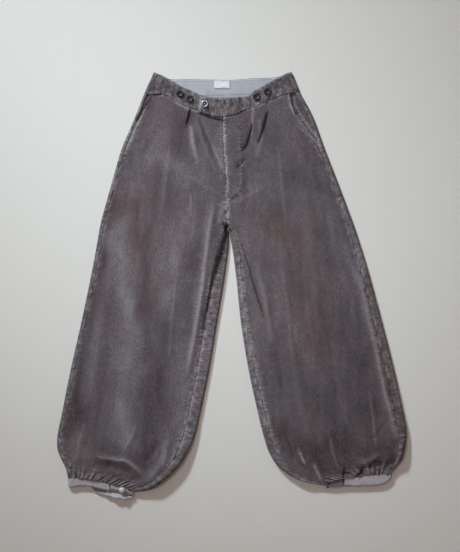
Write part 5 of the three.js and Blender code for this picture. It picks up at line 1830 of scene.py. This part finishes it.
garment_rows = fly_stitches() + band_stitches()
seam_rows = []
for each_leg in LEGS:
    garment_rows += pocket_stitches(each_leg)
    seam_rows += leg_seam_stitches(each_leg)
cuff_rows = cuff_stitches(RIGHT, CUFF_RIGHT) + cuff_stitches(LEFT, CUFF_LEFT)
sew("garment_stitches", garment_rows, STITCH_PALE, spacing=3.4, length=2.7, radius=0.32,
    seed=3)
sew("seam_stitches", seam_rows, STITCH_GREY, spacing=3.2, length=2.4, radius=0.26, seed=4)
sew("cuff_stitches", cuff_rows, STITCH_PALE, spacing=3.0, length=2.3, radius=0.28,
    seed=5)
sew("cuff_frays", cuff_frays(), STITCH_PALE, spacing=1.9, length=7.0, radius=0.42, seed=6,
    unevenness=0.9, upright=True)
sew("facing_stitches", facing_stitches(), STITCH_DARK, spacing=3.2, length=2.4,
    radius=0.24, seed=7)
sew("label_stitches", label_stitches(), STITCH_LABEL, spacing=2.2, length=1.6, radius=0.2,
    seed=9)


# Buttons

TURN_STEPS = 40
HOLE_RADIUS = 0.8
HOLE_DEPTH = 1.6
HOLE_FLOOR = 0.3        # the least that is left under a hole
RIM_HEIGHT = 0.65       # height at which a button's edge turns in
RIM_SHARE = 0.97        # how wide it is there, as a part of the whole
UNDER_SHARE = 0.72      # how wide the flat underside is


def button_mesh(name, profile, holes):
    """A turned button: heights over its rings from the middle out, with holes pressed into the face,
    and a flat underside."""
    radii, heights = np.array(profile, float).T
    fine = np.linspace(0, len(radii) - 1, (len(radii) - 1) * 3 + 1)
    ring_radii, ring_heights = between(radii, fine)[1:], between(heights, fine)[1:]
    angles = np.linspace(0, 2 * math.pi, TURN_STEPS, endpoint=False)
    points, faces = [(0.0, 0.0, float(heights[0]))], []
    for radius, height in zip(ring_radii, ring_heights):
        for angle in angles:
            x, y = radius * math.cos(angle), radius * math.sin(angle)
            pressed = sum(float(smooth(HOLE_RADIUS * 1.5, HOLE_RADIUS * 0.6, math.hypot(x - hx, y - hy)))
                          for hx, hy in holes)
            points.append((x, y, max(HOLE_FLOOR, float(height) - HOLE_DEPTH * pressed)))
    count = len(ring_radii)
    ring = [[1 + r * TURN_STEPS + k for k in range(TURN_STEPS)] for r in range(count)]
    for k in range(TURN_STEPS):
        n = (k + 1) % TURN_STEPS
        faces.append((0, ring[0][k], ring[0][n]))
        for r in range(count - 1):
            faces.append((ring[r][k], ring[r + 1][k], ring[r + 1][n], ring[r][n]))
    low = len(points)
    for share, z in ((RIM_SHARE, RIM_HEIGHT), (UNDER_SHARE, 0.0)):
        radius = ring_radii[-1] * share
        points.extend((radius * math.cos(a), radius * math.sin(a), z) for a in angles)
    bottom = len(points)
    points.append((0.0, 0.0, 0.0))
    for k in range(TURN_STEPS):
        n = (k + 1) % TURN_STEPS
        faces.append((ring[-1][k], low + k, low + n, ring[-1][n]))
        faces.append((low + k, low + TURN_STEPS + k, low + TURN_STEPS + n, low + n))
        faces.append((low + TURN_STEPS + k, bottom, low + TURN_STEPS + n))
    mesh = bpy.data.meshes.new(name)
    mesh.from_pydata(points, [], faces)
    return mesh


# Half sections of the buttons, as radius and height from the middle out

BRACE_PROFILE = ((0, 2.2), (2.4, 2.2), (4.4, 2.35), (5.2, 2.7), (6.2, 3.3), (7.4, 3.25), (8.2, 2.5),
                 (8.4, 1.8))
RING_PROFILE = ((0, 3.0), (1.0, 2.85), (1.9, 2.0), (3.4, 1.7), (4.6, 2.1), (5.6, 3.0), (7.2, 3.2),
                (8.2, 2.5), (8.4, 1.8))
KNOB_PROFILE = ((0, 5.2), (1.6, 5.15), (3.4, 4.8), (5.2, 4.2), (6.4, 3.2), (7.1, 2.2), (7.2, 1.6))
FOUR_HOLES = ((1.5, 1.5), (-1.5, 1.5), (-1.5, -1.5), (1.5, -1.5))
BRACE_BUTTONS = (-124 + 457j, -100 + 445j, 60 + 450j, 85 + 462j)
CUFF_BUTTON = -262 - 492j


def button(name, place, on, profile, holes, material):
    """A button at a plan place, on cloth whose upper face is at a height."""
    mesh = button_mesh(name + "_turned", profile, holes)
    for vertex in mesh.vertices:
        x, y, z = vertex.co
        vertex.co = in_frame(complex(x, y) + place, z + (on + SEAM))
    mesh.shade_smooth()
    place_piece(name + "_turned", mesh, material, (name,))


for number, brace_place in enumerate(BRACE_BUTTONS, 1):
    button(f"brace_button_{number}", brace_place, BAND_HEIGHT, BRACE_PROFILE, FOUR_HOLES, BLACK_BUTTON)
button("tab_button", TAB_BUTTON, BAND_HEIGHT + TAB_RISE, RING_PROFILE, (), RING_METAL)
button("cuff_button", CUFF_BUTTON, CUFF_HEIGHT, KNOB_PROFILE, (), PALE_BUTTON)
